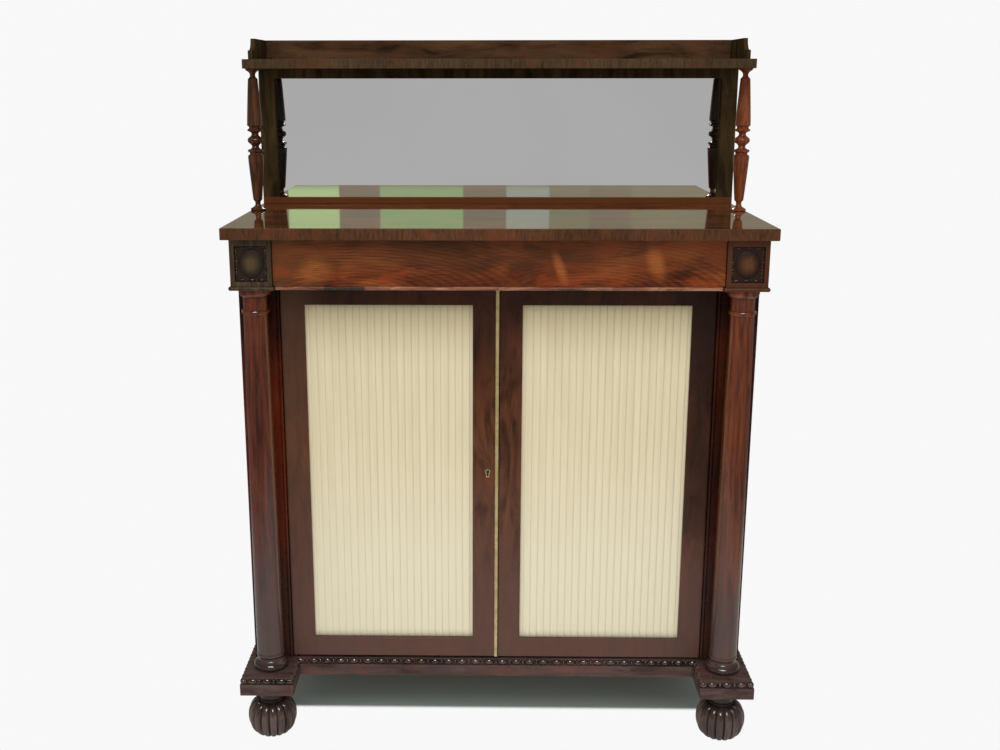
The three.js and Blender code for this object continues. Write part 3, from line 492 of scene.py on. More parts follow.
top_wood = rosewood(
    "top_rosewood", "x", (58, 32, 18), (108, 62, 36), (136, 84, 52), figure=40.0, stretch=9.0, swirl=0.12,
    gloss=0.0, lacquer=1.0,
)
turned_wood = rosewood(
    "turned_rosewood", "z", (44, 25, 14), (74, 43, 25), (98, 58, 34), figure=120.0, stretch=8.0,
    swirl=0.01, polish=0.2, gloss=0.3,
)
bright_turned_wood = rosewood(
    "bright_turned_rosewood", "z", (82, 36, 17), (116, 58, 30), (138, 76, 43), figure=120.0, stretch=8.0,
    swirl=0.01, polish=0.2, gloss=0.3,
)
low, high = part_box("turned_column_left")
back_from = (low.y + high.y) / 2 + 5 * MM
# Painted shade on the backs of the small columns.
for finish in (turned_wood, bright_turned_wood):
    stain_or_paint_light(finish, (-PAST, back_from, 0), (PAST, high.y + 0.1, 2 * PAST), (32, 29, 20), 0.92)
print("woods mixed:", len([m for m in bpy.data.materials if m.name.endswith("rosewood")]))

# %% [markdown]
# ## The drawer's veneer
#
# The drawer front has one sheet of flame-cut veneer. Where the saw passed a curve in the trunk, the growth
# rings open into long arcs, and a few pale flecks cross them where the fibres turn towards the light. The
# arcs are two sets of rings, drawn out along the drawer and broken up. The flecks are soft ovals.

# %% Arcs and flecks


def arcs(tree, here, middle, stretch, rings):
    """Rings about a point, drawn out along x; the result runs from 0 to 1."""
    spread = (1.0 / stretch, 0.05, 1.0)
    offset = tuple(-m * s for m, s in zip(middle, spread))
    placed = moved(tree, here, location=offset, scale=spread)
    sockets = {"Vector": placed, "Scale": rings, "Distortion": 2.0, "Detail": 3.0, "Detail Scale": 3.0}
    made = put(tree, "ShaderNodeTexWave", sockets, wave_type="RINGS", rings_direction="SPHERICAL")
    return made.outputs["Fac"]


def fleck(tree, here, middle, half, lean):
    """A soft leaning oval, 1 in its middle and 0 outside."""
    turned_place = moved(tree, moved(tree, here, location=[-m for m in middle]), turn=(0, lean, 0))
    scaled = moved(tree, turned_place, scale=(1 / half[0], 1, 1 / half[1]))
    return ranged(tree, reach_of(tree, scaled), 0.2, 1.0, 1.0, 0.0)


# %% [markdown]
# ## Laying on the veneer's tones
#
# Fine grain and broad, slow clouds give most of the figure, and the rings show through them faintly. Over
# the figure lie a darker middle, an olive left end, clouds of red, and a dim band of painted shade under
# the top board. The flecks come last. Strong rings would look like ripples in water, which is why they are
# held back.

# %% The flame veneer
ARC_LEVEL, RINGS_PER_METRE = 0.895, 55.0
RINGS_WEIGHT, FINE_WEIGHT, BROAD_WEIGHT = 0.06, 0.36, 0.55
FLECKS = (
    # middle, half width and half height in m, lean in radians
    ((-0.335, 0, 0.940), (0.045, 0.034), 0.3),
    ((0.112, 0, 0.945), (0.013, 0.045), 0.35),
    ((0.285, 0, 0.955), (0.022, 0.045), 0.3),
)


def veneer_figure(tree, place, along, flat):
    """The figure's strength, and the fine grain in it."""
    left = arcs(tree, flat, (-0.27, 0, ARC_LEVEL), 3.5, RINGS_PER_METRE)
    right = arcs(tree, flat, (0.17, 0, ARC_LEVEL), 3.0, RINGS_PER_METRE)
    rings = mixed(tree, ranged(tree, along, -0.06, 0.12), left, right)
    fine = noise(tree, moved(tree, place, scale=(1 / 30.0, 1, 1)), 700.0, detail=3.0, roughness=0.6)
    broad = noise(tree, moved(tree, place, scale=(1 / 3.0, 1, 1)), 20.0, detail=2.0, distortion=0.6)
    rings_part = sums(tree, "MULTIPLY", rings, RINGS_WEIGHT)
    figure = sums(tree, "ADD", rings_part, sums(tree, "MULTIPLY", fine, FINE_WEIGHT))
    return sums(tree, "ADD", figure, sums(tree, "MULTIPLY", broad, BROAD_WEIGHT)), fine


def flame_veneer(name):
    """The drawer front's veneer: arcs, grain, a dark middle, an olive left end and three pale flecks."""
    material, tree, shader, place = start_finish(name, 0.3, Specular_IOR_Level=0.13)
    face = put(tree, "ShaderNodeSeparateXYZ", {0: place})
    along, up = face.outputs["X"], face.outputs["Z"]
    flat = put(tree, "ShaderNodeCombineXYZ", {0: along, 2: up}).outputs[0]
    figure, fine = veneer_figure(tree, place, along, flat)
    dark, body, light = colour(68, 31, 14), colour(120, 58, 27), colour(164, 90, 42)
    base = ramped(tree, figure, (0.38, dark), (0.5, body), (0.62, light))
    blotches = ranged(tree, noise(tree, place, 7.0, detail=2.0), 0.4, 0.65, 0.0, 0.25)
    dark_middle = ranged(tree, absolute(tree, along), 0.08, 0.22, 0.3, 0.0)
    base = mixed(tree, sums(tree, "ADD", blotches, dark_middle), base, colour(78, 37, 20))
    base = mixed(tree, ranged(tree, along, -0.415, -0.33, 0.6, 0.0), base, colour(96, 68, 36))
    drawn_out = moved(tree, place, scale=(0.5, 1, 1))
    cloud = noise(tree, drawn_out, 17.0, detail=5.0, roughness=0.6, distortion=0.8)
    base = mixed(tree, ranged(tree, cloud, 0.47, 0.63, 0.0, 0.45), base, colour(160, 70, 32))
    # Painted shade: a dim band under the overhang of the top board.
    base = mixed(tree, ranged(tree, up, 0.93, 0.958, 0.0, 0.4), base, colour(74, 52, 30))
    streaks = ranged(tree, fine, 0.3, 0.6, 0.3, 0.7)
    for spot, half, lean in FLECKS:
        glow = sums(tree, "MULTIPLY", fleck(tree, flat, spot, half, lean), streaks)
        base = mixed(tree, glow, base, colour(178, 102, 50))
    join_up(tree, shader, base, ranged(tree, fine, 0.3, 0.7, 0.26, 0.36), fine, strength=0.1)
    return material


drawer_wood = flame_veneer("drawer_rosewood")
print("drawer veneer has", len(drawer_wood.node_tree.nodes), "nodes")

# %% [markdown]
# ## Bare pine
#
# Behind the show wood the carcase is pine, left bare and browned by age. Its rings are noise drawn out
# along the board: pale early wood, darker late wood, and grime in slow patches over both. Three finishes
# differ only in the way the grain runs, because that is how the boards were cut.

# %% The pine finish


def pine(name, grain):
    """Bare, aged pine: pale early wood, darker late wood and a little grime."""
    material, tree, shader, place = start_finish(name, 0.7, Specular_IOR_Level=0.25)
    drawn = moved(tree, place, scale=stretch_scale(grain, 18.0))
    rings = noise(tree, drawn, 130.0, detail=5.0, roughness=0.6, distortion=0.3)
    base = mixed(tree, ranged(tree, rings, 0.4, 0.62), colour(150, 112, 70), colour(112, 76, 44))
    grime = noise(tree, place, 6.0, detail=4.0)
    base = mixed(tree, ranged(tree, grime, 0.5, 0.75, 0.0, 0.5), base, colour(70, 50, 34))
    join_up(tree, shader, base, None, rings, strength=0.25)
    return material


pine_up = pine("pine_upright", "z")
pine_across = pine("pine_across", "x")
pine_deep = pine("pine_deep", "y")
print("pine:", pine_up.name, pine_across.name, pine_deep.name)

# %% [markdown]
# ## Cream silk
#
# The silk is woven so finely that it shows as a faint ripple and a soft sheen. Its threads have to follow
# the folds, so they are read from the cloth's own UV map, which is the cloth laid flat. It has faded
# unevenly. Low down it is painted lighter, as painted light bounced from the floor, and at the top it is
# painted darker, as painted shade under the frieze. Painted shade also lies along the creases.

# %% The silk


def woven_silk(name):
    """Cream silk: threads run down the cloth, read from its own UV map, with slow uneven fading. Painted
    light lies low down, and painted shade at the top and in the creases, which the cloth carries as an
    attribute of its own."""
    material, tree, shader, place = start_finish(name, 0.62, Specular_IOR_Level=0.25, Sheen_Weight=0.15)
    cloth = put(tree, "ShaderNodeTexCoord").outputs["UV"]
    threads = noise(tree, moved(tree, cloth, scale=(1500.0, 30.0, 1.0)), 1.0, detail=2.0)
    slubs = noise(tree, moved(tree, cloth, scale=(90.0, 3.0, 1.0)), 1.0, detail=2.0)
    base = mixed(tree, ranged(tree, slubs, 0.3, 0.7), colour(237, 222, 184), colour(245, 231, 195))
    base = mixed(tree, ranged(tree, threads, 0.5, 0.8, 0.0, 0.12), base, colour(206, 189, 149))
    level = put(tree, "ShaderNodeSeparateXYZ", {0: place}).outputs["Z"]
    # Painted light bounced from the floor: lighter low down.
    base = mixed(tree, ranged(tree, level, 0.30, 0.65, 0.8, 0.0), base, colour(252, 242, 212))
    # Painted shade under the frieze: darker at the top.
    base = mixed(tree, ranged(tree, level, 0.74, 0.89, 0.0, 0.75), base, colour(196, 180, 138))
    # Painted shade along the creases.
    crease = put(tree, "ShaderNodeAttribute", attribute_name="crease").outputs["Fac"]
    base = mixed(tree, sums(tree, "MULTIPLY", crease, 0.5), base, colour(140, 120, 80))
    join_up(tree, shader, base, None, threads, strength=0.15, distance=0.1 * MM)
    return material


silk_cloth = woven_silk("cream_silk")
print("silk has", len(silk_cloth.node_tree.nodes), "nodes")

# %% [markdown]
# ## Brass, steel and silvered glass
#
# The brass has dulled, with brighter rubbed places. On the strip and the keyhole some old lacquer is left,
# so there it isn't quite a pure metal. The mirror is silver behind glass, and because only the silver
# counts for the eye, it is a metal with hardly any roughness.

# %% The metals and the silvering


def metal(name, dull, bright, roughness, purity=1.0):
    """A metal with a patchy tarnish: bright where it is rubbed, dull and rougher elsewhere. A purity below
    1 stands for old lacquer on it, which glows a little in any light."""
    material, tree, shader, place = start_finish(name, roughness, metallic=purity)
    patches = noise(tree, place, 60.0, detail=4.0)
    base = mixed(tree, ranged(tree, patches, 0.35, 0.65), colour(*dull), colour(*bright))
    scratches = noise(tree, moved(tree, place, scale=(1, 1, 0.05)), 900.0, detail=1.0)
    rough = ranged(tree, patches, 0.3, 0.7, roughness + 0.12, roughness - 0.05)
    join_up(tree, shader, base, rough, scratches, strength=0.05, distance=0.1 * MM)
    return material


def silvered_glass(name):
    """Old looking glass: clean silver with a trace of unevenness."""
    material, tree, shader, place = start_finish(name, 0.01, metallic=1.0)
    cloud = noise(tree, place, 3.0, detail=3.0)
    base = mixed(tree, ranged(tree, cloud, 0.3, 0.7), colour(244, 244, 244), colour(248, 248, 248))
    join_up(tree, shader, base)
    return material


brass = metal("brass", (190, 168, 116), (212, 192, 140), 0.32, purity=0.4)
old_brass = metal("old_brass", (70, 54, 32), (112, 90, 54), 0.45)
steel = metal("steel", (84, 82, 80), (140, 138, 134), 0.38)
silvering = silvered_glass("silvering")
print("metals:", brass.name, old_brass.name, steel.name, silvering.name)

# %% [markdown]
# ## The light of the studio
#
# The world gives most of the light. It is brighter from above, so that the overhanging frieze shades the
# tops of the doors, and brighter from the front, so that the columns darken round their flanks. What the
# polish sees of the world is a tone of its own and adds no light: dim all round, with a pale band that the
# mirror shows and, over it, a buff band that lies in the polished top. The camera sees plain white.

# %% The world
DIM, PALE, BUFF, WHITE = 0.13, 0.43, 0.31, 0.94
PALE_FROM, BUFF_FROM, BUFF_TO = (-0.15, -0.115), (0.01, 0.05), (0.16, 0.2)  # sines of angles upwards
BUFF_TINT = (1.0, 0.95, 0.72, 1)
NO_TINT = (1, 1, 1, 1)

world = bpy.data.worlds.new("studio")
world.use_nodes = True
bpy.context.scene.world = world
tree = world.node_tree
background = tree.nodes["Background"]
ray = put(tree, "ShaderNodeLightPath")
aim = put(tree, "ShaderNodeSeparateXYZ", {0: put(tree, "ShaderNodeTexCoord").outputs["Generated"]})
rise = aim.outputs["Z"]
from_above = ranged(tree, rise, -0.1, 0.9, 0.55, 1.1)
from_front = ranged(tree, aim.outputs["Y"], -1.0, 0.0, 1.25, 0.5)
daylight = sums(tree, "MULTIPLY", from_above, from_front)
pale_band = ranged(tree, rise, *PALE_FROM, DIM, PALE)
over_pale = ranged(tree, rise, *BUFF_FROM)
buff_band = ranged(tree, rise, *BUFF_TO, BUFF, DIM)
seen = sums(tree, "MAXIMUM", ray.outputs["Is Glossy Ray"], ray.outputs["Is Transmission Ray"])
strength = between(tree, seen, daylight, between(tree, over_pale, pale_band, buff_band))
strength = between(tree, ray.outputs["Is Camera Ray"], strength, WHITE)
in_buff = sums(tree, "MULTIPLY", seen, ranged(tree, rise, *BUFF_TO, 1.0, 0.0))
in_buff = sums(tree, "MULTIPLY", over_pale, in_buff)
tree.links.new(mixed(tree, in_buff, NO_TINT, BUFF_TINT), background.inputs["Color"])
tree.links.new(strength, background.inputs["Strength"])
print("world has", len(tree.nodes), "nodes")

# %% [markdown]
# ## The lamps
#
# Polish shows whatever it faces, so soft lamps stand behind the camera in two rows of panes. The lower ones
# are dull green and grey, and lie as patches in the polished top. The upper ones are bright and high up.
# They are seen by the polish alone, where they make the glints on the beads, the reeds and the turned
# rings, and they light nothing else. One soft box overhead models the turned work.

# %% Hang the lamps
PANES = (
    # middle and width in m, brightness and tint of each lower lamp
    (-1.076, 0.31, 0.60, (0.57, 1.0, 0.38)),
    (-0.418, 0.507, 0.32, (0.38, 1.0, 0.32)),
    (0.229, 0.262, 0.26, (0.65, 1.0, 0.90)),
    (0.482, 0.244, 0.05, (0.40, 1.0, 0.30)),
    (1.086, 0.452, 0.05, (0.50, 1.0, 0.30)),
)
LAMPS_Y = -4.5
LOWER_Z, LOWER_HEIGHT = 1.6, 0.40
UPPER_Z, UPPER_HEIGHT, UPPER_RADIANCE = 4.7, 1.9, 26.0


def let_go():
    """Leaves edit mode and deselects every object."""
    held = bpy.context.view_layer.objects.active
    if held and held.mode == "EDIT":
        bpy.ops.object.mode_set(mode="OBJECT")
    bpy.ops.object.select_all(action="DESELECT")


def soft_box(name, place, aim_at, width, height, radiance, tint=(1, 1, 1)):
    """A rectangular lamp at a place, facing a point, of a given brightness."""
    let_go()
    bpy.ops.object.light_add(type="AREA", location=place)
    lamp = bpy.context.object
    lamp.name = name
    lamp.rotation_euler = (Vector(aim_at) - Vector(place)).to_track_quat("-Z", "Y").to_euler()
    lamp.data.shape = "RECTANGLE"
    lamp.data.size, lamp.data.size_y = width, height
    lamp.data.energy = radiance * math.pi * width * height
    lamp.data.color = tint
    return lamp


for number, (middle, width, radiance, tint) in enumerate(PANES):
    place, target = (middle, LAMPS_Y, LOWER_Z), (middle, 0, LOWER_Z)
    soft_box(f"lower_pane_{number}", place, target, width, LOWER_HEIGHT, radiance, tint)
    place, target = (middle, LAMPS_Y, UPPER_Z), (middle, 0, UPPER_Z)
    upper = soft_box(f"upper_pane_{number}", place, target, width, UPPER_HEIGHT, UPPER_RADIANCE)
    upper.visible_diffuse = False
soft_box("overhead", (-0.3, -2.6, 3.2), (0, 0, 0.6), 1.8, 1.2, 2.6)

# %% [markdown]
# ## The floor
#
# The floor is a plain disc that catches the shadow. In the photograph everything but the shaded floor under
# the piece was cleared to white, so the camera sees the disc only there. Its tone there is a dull
# green-grey,
# darker than the rest of the disc: partly the floor's own tone and partly painted shadow under the piece.
# Light still bounces off it for some metres all round. What the polish sees of it ends nearer, after two
# metres.

# %% Lay the floor
FLOOR_RADIUS = 6.0
HALF_WIDTH, FRONT, BACK = (0.44, 0.50), (-0.095, -0.080), (0.22, 0.30)  # m, soft limits of what shows
SHADED_TONE = (0.42, 0.49, 0.46, 1)

let_go()
bpy.ops.mesh.primitive_circle_add(vertices=96, radius=FLOOR_RADIUS, fill_type="NGON", location=(0, 0, 0))
floor = bpy.context.object
floor.name = "floor"
floor_finish, tree, shader, place = start_finish("pale_floor", 0.9, Specular_IOR_Level=0.1)
spot = put(tree, "ShaderNodeSeparateXYZ", {0: place})
under = ranged(tree, absolute(tree, spot.outputs["X"]), *HALF_WIDTH, 1.0, 0.0)
under = sums(tree, "MULTIPLY", under, ranged(tree, spot.outputs["Y"], *FRONT))
under = sums(tree, "MULTIPLY", under, ranged(tree, spot.outputs["Y"], *BACK, 1.0, 0.0))
speckle = noise(tree, place, 40.0, detail=3.0)
pale = mixed(tree, ranged(tree, speckle, 0.3, 0.7), (0.90, 0.90, 0.90, 1), (0.93, 0.93, 0.93, 1))
# The darker tone under the piece is partly painted shadow.
tree.links.new(mixed(tree, under, pale, SHADED_TONE), shader.inputs["Base Color"])
distance = reach_of(tree, place)
ray = put(tree, "ShaderNodeLightPath")
lit = ranged(tree, distance, 2.0, 5.0, 1.0, 0.0)
polished = ranged(tree, distance, 0.9, 2.0, 1.0, 0.0)
alpha = between(tree, ray.outputs["Is Glossy Ray"], lit, polished)
alpha = between(tree, ray.outputs["Is Camera Ray"], alpha, under)
tree.links.new(alpha, shader.inputs["Alpha"])
floor.data.materials.append(floor_finish)
print("floor:", FLOOR_RADIUS, "m round the piece")

# %% [markdown]
# ## Small tools
#
# Operators act on whatever is selected, and loading the frame leaves every CAD node selected. So each
# tool below first lets go of everything and then takes hold of one piece. Faces, edges and vertices are
# picked in code by where they are or which way they face, as one would click on them by hand.

# %% Take hold of a piece and pick parts of it


def take(piece):
    """Selects one piece alone and makes it active."""
    let_go()
    piece.select_set(True)
    bpy.context.view_layer.objects.active = piece


def open_up(piece):
    """Takes a piece into edit mode, with all of it selected."""
    take(piece)
    bpy.ops.object.mode_set(mode="EDIT")
    bpy.ops.mesh.select_all(action="SELECT")


def pick(piece, kind, test):
    """In edit mode, selects the vertices, edges or faces of a piece that pass a test."""
    bpy.ops.mesh.select_mode(type=kind)
    bpy.ops.mesh.select_all(action="DESELECT")
    shape = bmesh.from_edit_mesh(piece.data)
    parts = {"VERT": shape.verts, "EDGE": shape.edges, "FACE": shape.faces}[kind]
    for part in parts:
        if test(part):
            part.select_set(True)
    shape.select_flush_mode()
    bmesh.update_edit_mesh(piece.data)


def settle(piece):
    """Applies a piece's place, turn and scale to its mesh, so that its object sits at the origin."""
    take(piece)
    bpy.ops.object.transform_apply(location=True, rotation=True, scale=True)
    return piece


# %% [markdown]
# ## Easing the edges
#
# A cabinet maker breaks every edge with a pass of fine paper, and that narrow rounding is what catches the
# light along a board. A bevel modifier makes it, and is applied at once, so that the mesh holds its real
# shape. The weighted normals then keep the broad faces looking flat.

# %% Modifiers, smooth shading and eased edges


def use_modifier(piece, kind, **settings):
    """Adds a modifier, sets it and applies it."""
    take(piece)
    bpy.ops.object.modifier_add(type=kind)
    modifier = piece.modifiers[-1]
    for key, value in settings.items():
        setattr(modifier, key, value)
    bpy.ops.object.modifier_apply(modifier=modifier.name)


def smooth(piece, degrees):
    """Shades a piece smooth wherever its faces meet at less than an angle."""
    take(piece)
    bpy.ops.object.shade_smooth_by_angle(angle=math.radians(degrees))


def ease_edges(piece, width, steps=2, angle=30):
    """Rounds every sharp edge a little, and keeps the broad faces looking flat."""
    limit = math.radians(angle)
    use_modifier(piece, "BEVEL", width=width, segments=steps, limit_method="ANGLE", angle_limit=limit)
    smooth(piece, 40)
    use_modifier(piece, "WEIGHTED_NORMAL", keep_sharp=True)
    return piece


# %% [markdown]
# ## Start from a block, or from the CAD solid
#
# Most joinery is a board with its edges eased. A plain board starts as a cube of the CAD node's size. A
# board with rebates, mortises or a moulded edge starts as a copy of the CAD solid: its loose triangles are
# merged, its flat faces joined up again, and only then can a bevel run cleanly round its edges.

# %% Make blocks and copies


def block(name, low, high):
    """A cube primitive that reaches from one corner to the other."""
    low, high = Vector(low), Vector(high)
    let_go()
    bpy.ops.mesh.primitive_cube_add(size=1, location=(low + high) / 2)
    piece = bpy.context.object
    piece.name = name
    piece.scale = high - low
    return settle(piece)


def board(node, name):
    """A cube the size of a CAD node."""
    return block(name, *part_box(node))


def copy_of_solid(node, name):
    """A merged copy of a CAD node, with its flat faces made whole."""
    take(frame["nodes"][node])
    bpy.ops.object.duplicate(linked=False)
    piece = bpy.context.object
    piece.name = name
    piece.parent = None
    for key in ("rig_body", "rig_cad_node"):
        if key in piece:
            del piece[key]
    open_up(piece)
    bpy.ops.mesh.remove_doubles(threshold=0.01 * MM)
    bpy.ops.mesh.dissolve_limited(angle_limit=math.radians(1))
    bpy.ops.object.mode_set(mode="OBJECT")
    piece.data.materials.clear()
    return piece


# %% [markdown]
# ## Boards and frames
#
# Plain boards are cubes at the size of their CAD nodes. Those with housings, rebates or mouldings are
# copies of the solids. Two tables list them with the width of the rounding. Each piece then gets its
# finish, the body that it rides on and the CAD node that it stands for in one call.

# %% The carcase, boards and frames
PLAIN = (
    # node, rounding in mm, finish, body, slot
    ("plinth_rail_back", 0.8, pine_across, "carcase", "carcase_pine"),
    ("bottom_board", 0.6, pine_across, "carcase", "carcase_pine"),
    ("cupboard_shelf", 1.0, pine_across, "carcase", "carcase_pine"),
    ("drawer_side_left", 0.8, pine_deep, "drawer", "carcase_pine"),
    ("drawer_side_right", 0.8, pine_deep, "drawer", "carcase_pine"),
    ("drawer_back", 0.8, pine_across, "drawer", "carcase_pine"),
    ("drawer_bottom", 0.4, pine_across, "drawer", "carcase_pine"),
    ("drawer_guide_left", 0.5, pine_deep, "carcase", "carcase_pine"),
    ("drawer_guide_right", 0.5, pine_deep, "carcase", "carcase_pine"),
    ("gallery_back", 1.0, gallery_wood, "carcase", "dark_rosewood"),
    ("mirror_back", 0.5, pine_across, "carcase", "carcase_pine"),
)
CARVED = (
    ("plinth_block_left", 0.9, plinth_wood, "carcase", "dark_rosewood"),
    ("plinth_block_right", 0.9, plinth_wood, "carcase", "dark_rosewood"),
    ("plinth_side_left", 0.9, plinth_side_wood, "carcase", "dark_rosewood"),
    ("plinth_side_right", 0.9, plinth_side_wood, "carcase", "dark_rosewood"),
    ("plinth_rail_front", 0.9, plinth_wood, "carcase", "dark_rosewood"),
    ("side_panel_left", 0.6, side_wood, "carcase", "rosewood"),
    ("side_panel_right", 0.6, side_wood, "carcase", "rosewood"),
    ("pilaster_left", 0.5, pilaster_wood, "carcase", "dark_rosewood"),
    ("pilaster_right", 0.5, pilaster_wood, "carcase", "dark_rosewood"),
    ("dust_board", 0.5, pine_across, "carcase", "carcase_pine"),
    ("door_frame_left", 0.7, door_wood, "left_door", "dark_rosewood"),
    ("door_frame_right", 0.7, door_wood, "right_door", "dark_rosewood"),
    ("gallery_end_left", 0.8, frame_wood, "carcase", "dark_rosewood"),
    ("gallery_end_right", 0.8, frame_wood, "carcase", "dark_rosewood"),
    ("mirror_frame", 0.8, frame_wood, "carcase", "dark_rosewood"),
)


def report(piece):
    """Prints what was made, and hands it on."""
    size = [round(v * 1000, 1) for v in piece.dimensions]
    print(f"{piece.name}: {len(piece.data.polygons)} faces, {size} mm")
    return piece


def dress(piece, finish, body, slot, *nodes):
    """Gives a piece its finish, the body it rides on and the CAD nodes it stands for; its slot is not used.
    """
    if finish is not None:
        piece.data.materials.clear()
        piece.data.materials.append(finish)
    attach(piece, body)
    if nodes:
        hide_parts(*nodes)
    return report(piece)


for make, rows in ((board, PLAIN), (copy_of_solid, CARVED)):
    for node, rounding, finish, body, slot in rows:
        piece = ease_edges(make(node, node + "_eased"), rounding * MM)
        dress(piece, finish, body, slot, node)

# %% [markdown]
# ## The back boards
#
# Nobody was meant to see the back, so it was closed with rough pine boards set side by side. One board is
# modelled and copied across the width. The rounded edges leave the narrow joints that show from behind.

# %% Five boards across the back
BACK_BOARDS = 5


def another(piece, name, shift):
    """A copy with its own mesh, moved by a shift."""
    take(piece)
    bpy.ops.object.duplicate(linked=False)
    twin = bpy.context.object
    twin.name = name
    twin.location = shift
    return settle(twin)


def joined(pieces, name):
    """Joins several pieces into the first one."""
    let_go()
    for piece in pieces:
        piece.select_set(True)
    bpy.context.view_layer.objects.active = pieces[0]
    bpy.ops.object.join()
    pieces[0].name = name
    return pieces[0]


low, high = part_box("back_board")
pitch = (high.x - low.x) / BACK_BOARDS
plank = ease_edges(block("back_plank", low, (low.x + pitch, high.y, high.z)), 1.6 * MM)
planks = [plank] + [another(plank, f"back_plank_{i}", (i * pitch, 0, 0)) for i in range(1, BACK_BOARDS)]
dress(joined(planks, "back_planks"), pine_up, "carcase", "carcase_pine", "back_board")

# %% [markdown]
# ## The top and the shelf above it
#
# Both are boards with polished veneer on the flat and a band of short, upright grain glued round the edge.
# The band's grain runs across the edge, so the edge faces get a finish of their own. They are picked by the
# way they face: whatever doesn't look up or down belongs to the edge.

# %% Veneered boards


def two_finishes(piece, main, other, test):
    """Gives a piece one finish all over, and another on the faces that pass a test."""
    piece.data.materials.append(main)
    piece.data.materials.append(other)
    open_up(piece)
    pick(piece, "FACE", test)
    piece.active_material_index = 1
    bpy.ops.object.material_slot_assign()
    bpy.ops.object.mode_set(mode="OBJECT")


for node, flat_finish, edge_finish, rounding in (
    ("top_board", top_wood, crossband_wood, 1.5),
    ("upper_shelf", gallery_wood, shelf_edge_wood, 1.2),
):
    piece = ease_edges(board(node, node + "_veneered"), rounding * MM, steps=3)
    two_finishes(piece, flat_finish, edge_finish, lambda face: abs(face.normal.z) < 0.8)
    dress(piece, None, "carcase", "rosewood", node)

# %% [markdown]
# ## Turning on the lathe
#
# Columns, beads and feet all start on the lathe. A profile could be spun round an axis. Here a disc is
# extruded upwards ring by ring, and each new ring is drawn in or out to its radius, which is how a turner
# reads a profile too. Hollows and rounds in it can come from short arcs, so that they look smooth with few
# rings.

# %% The lathe


def bend(middle, radii, start, end, steps):
    """Points (radius, height) along an arc, with angles in degrees from straight out."""
    points = []
    for i in range(steps + 1):
        angle = math.radians(start + (end - start) * i / steps)
        points.append((middle[0] + radii[0] * math.cos(angle), middle[1] + radii[1] * math.sin(angle)))
    return points


def face_outwards(piece):
    """Turns every face of a closed piece outwards."""
    open_up(piece)
    bpy.ops.mesh.normals_make_consistent(inside=False)
    bpy.ops.object.mode_set(mode="OBJECT")


def turn(name, foot, profile, sides):
    """Turns a piece on an upright axis through foot. profile lists (radius, height) from the foot up."""
    let_go()
    radius, height = profile[0]
    start = Vector(foot) + Vector((0, 0, height))
    bpy.ops.mesh.primitive_circle_add(vertices=sides, radius=radius, fill_type="NGON", location=start)
    piece = bpy.context.object
    piece.name = name
    open_up(piece)
    for next_radius, next_height in profile[1:]:
        rise = {"value": (0, 0, next_height - height)}
        bpy.ops.mesh.extrude_region_move(TRANSFORM_OT_translate=rise)
        grow = next_radius / radius
        bpy.ops.transform.resize(value=(grow, grow, 1), center_override=foot)
        radius, height = next_radius, next_height
    face_outwards(piece)
    settle(piece)
    smooth(piece, 32)
    return piece


# %% [markdown]
# ## The two great columns
#
# Each column is one turning: a fat torus on the plinth, a hollow and a ring above it, a shaft that thins
# faster towards its head, then an astragal, a plain neck and a rounded echinus under the slab.

# %% Turn the columns
SHAFT_RADIUS, TAPER, TAPER_POWER = 26.5, 3.75, 1.7  # mm at the foot, mm it loses, and how late
SHAFT_LOW, HEAD, NECK_RADIUS = 34.2, 48, 22.25  # mm; HEAD is all that is above the shaft
SHAFT_STEPS = 24
COLUMN_SIDES = 72


def sole(node):
    """The middle of a node's underside."""
    low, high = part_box(node)
    return Vector((*((low + high) / 2).xy, low.z))


low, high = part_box("column_left")
tall = (high.z - low.z) / MM
shaft_high = tall - HEAD
torus = [(28.4, 0), (31.2, 1), (32.8, 2.8), (33.6, 5), (33.9, 7.2), (33.5, 9.7), (32.3, 12.2), (30.2, 14.4)]
hollow = [(27.6, 16.1), (25.6, 17.6), (24.4, 19.2), (24.0, 21.0), (24.2, 22.8), (24.9, 24.6), (25.8, 26)]
ring = [(26.9, 26.8), (27.4, 28.0), (27.6, 29.4), (27.6, 31.2), (27.3, 32.4), (26.2, 33.0), (26.2, 33.8)]
shaft = []
for i in range(SHAFT_STEPS + 1):
    t = i / SHAFT_STEPS
    shaft.append((SHAFT_RADIUS - TAPER * t**TAPER_POWER, SHAFT_LOW + (shaft_high - SHAFT_LOW) * t))
astragal = bend((SHAFT_RADIUS - TAPER, shaft_high + 4.5), (3, 4.5), -88, 88, 8)
neck = [(NECK_RADIUS, shaft_high + 9), (NECK_RADIUS, shaft_high + 33)]
echinus = bend((NECK_RADIUS, tall - 4.5), (7.75, 10.5), -86, 0, 8)
crown = [(30, tall)]
profile = [(r * MM, h * MM) for r, h in torus + hollow + ring + shaft + astragal + neck + echinus + crown]
column_foot = sole("column_left")
column = turn("column_turned_left", column_foot, profile, COLUMN_SIDES)
to_the_right = (-2 * column_foot.x, 0, 0)
other = another(column, "column_turned_right", to_the_right)
dress(column, column_wood, "carcase", "rosewood", "column_left")
dress(other, bright_column_wood, "carcase", "rosewood", "column_right")

# %% [markdown]
# ## The slabs on the columns
#
# A thin slab with a rounded nose lies on each column and carries the frieze block. It is a plain block
# whose edges are bevelled almost to their middle.

# %% Nose the slabs
slab = ease_edges(board("abacus_left", "abacus_nosed_left"), 3.3 * MM, steps=6)
other = another(slab, "abacus_nosed_right", to_the_right)
dress(slab, block_wood, "carcase", "dark_rosewood", "abacus_left")
dress(other, block_wood, "carcase", "dark_rosewood", "abacus_right")

# %% [markdown]
# ## The small turned columns
#
# The shelf stands on two slim turnings, each a pair of long tapers that meet at a knop between thin discs.
# They are the finest turning on the piece, so their profile has a ring for every edge the gouge left.

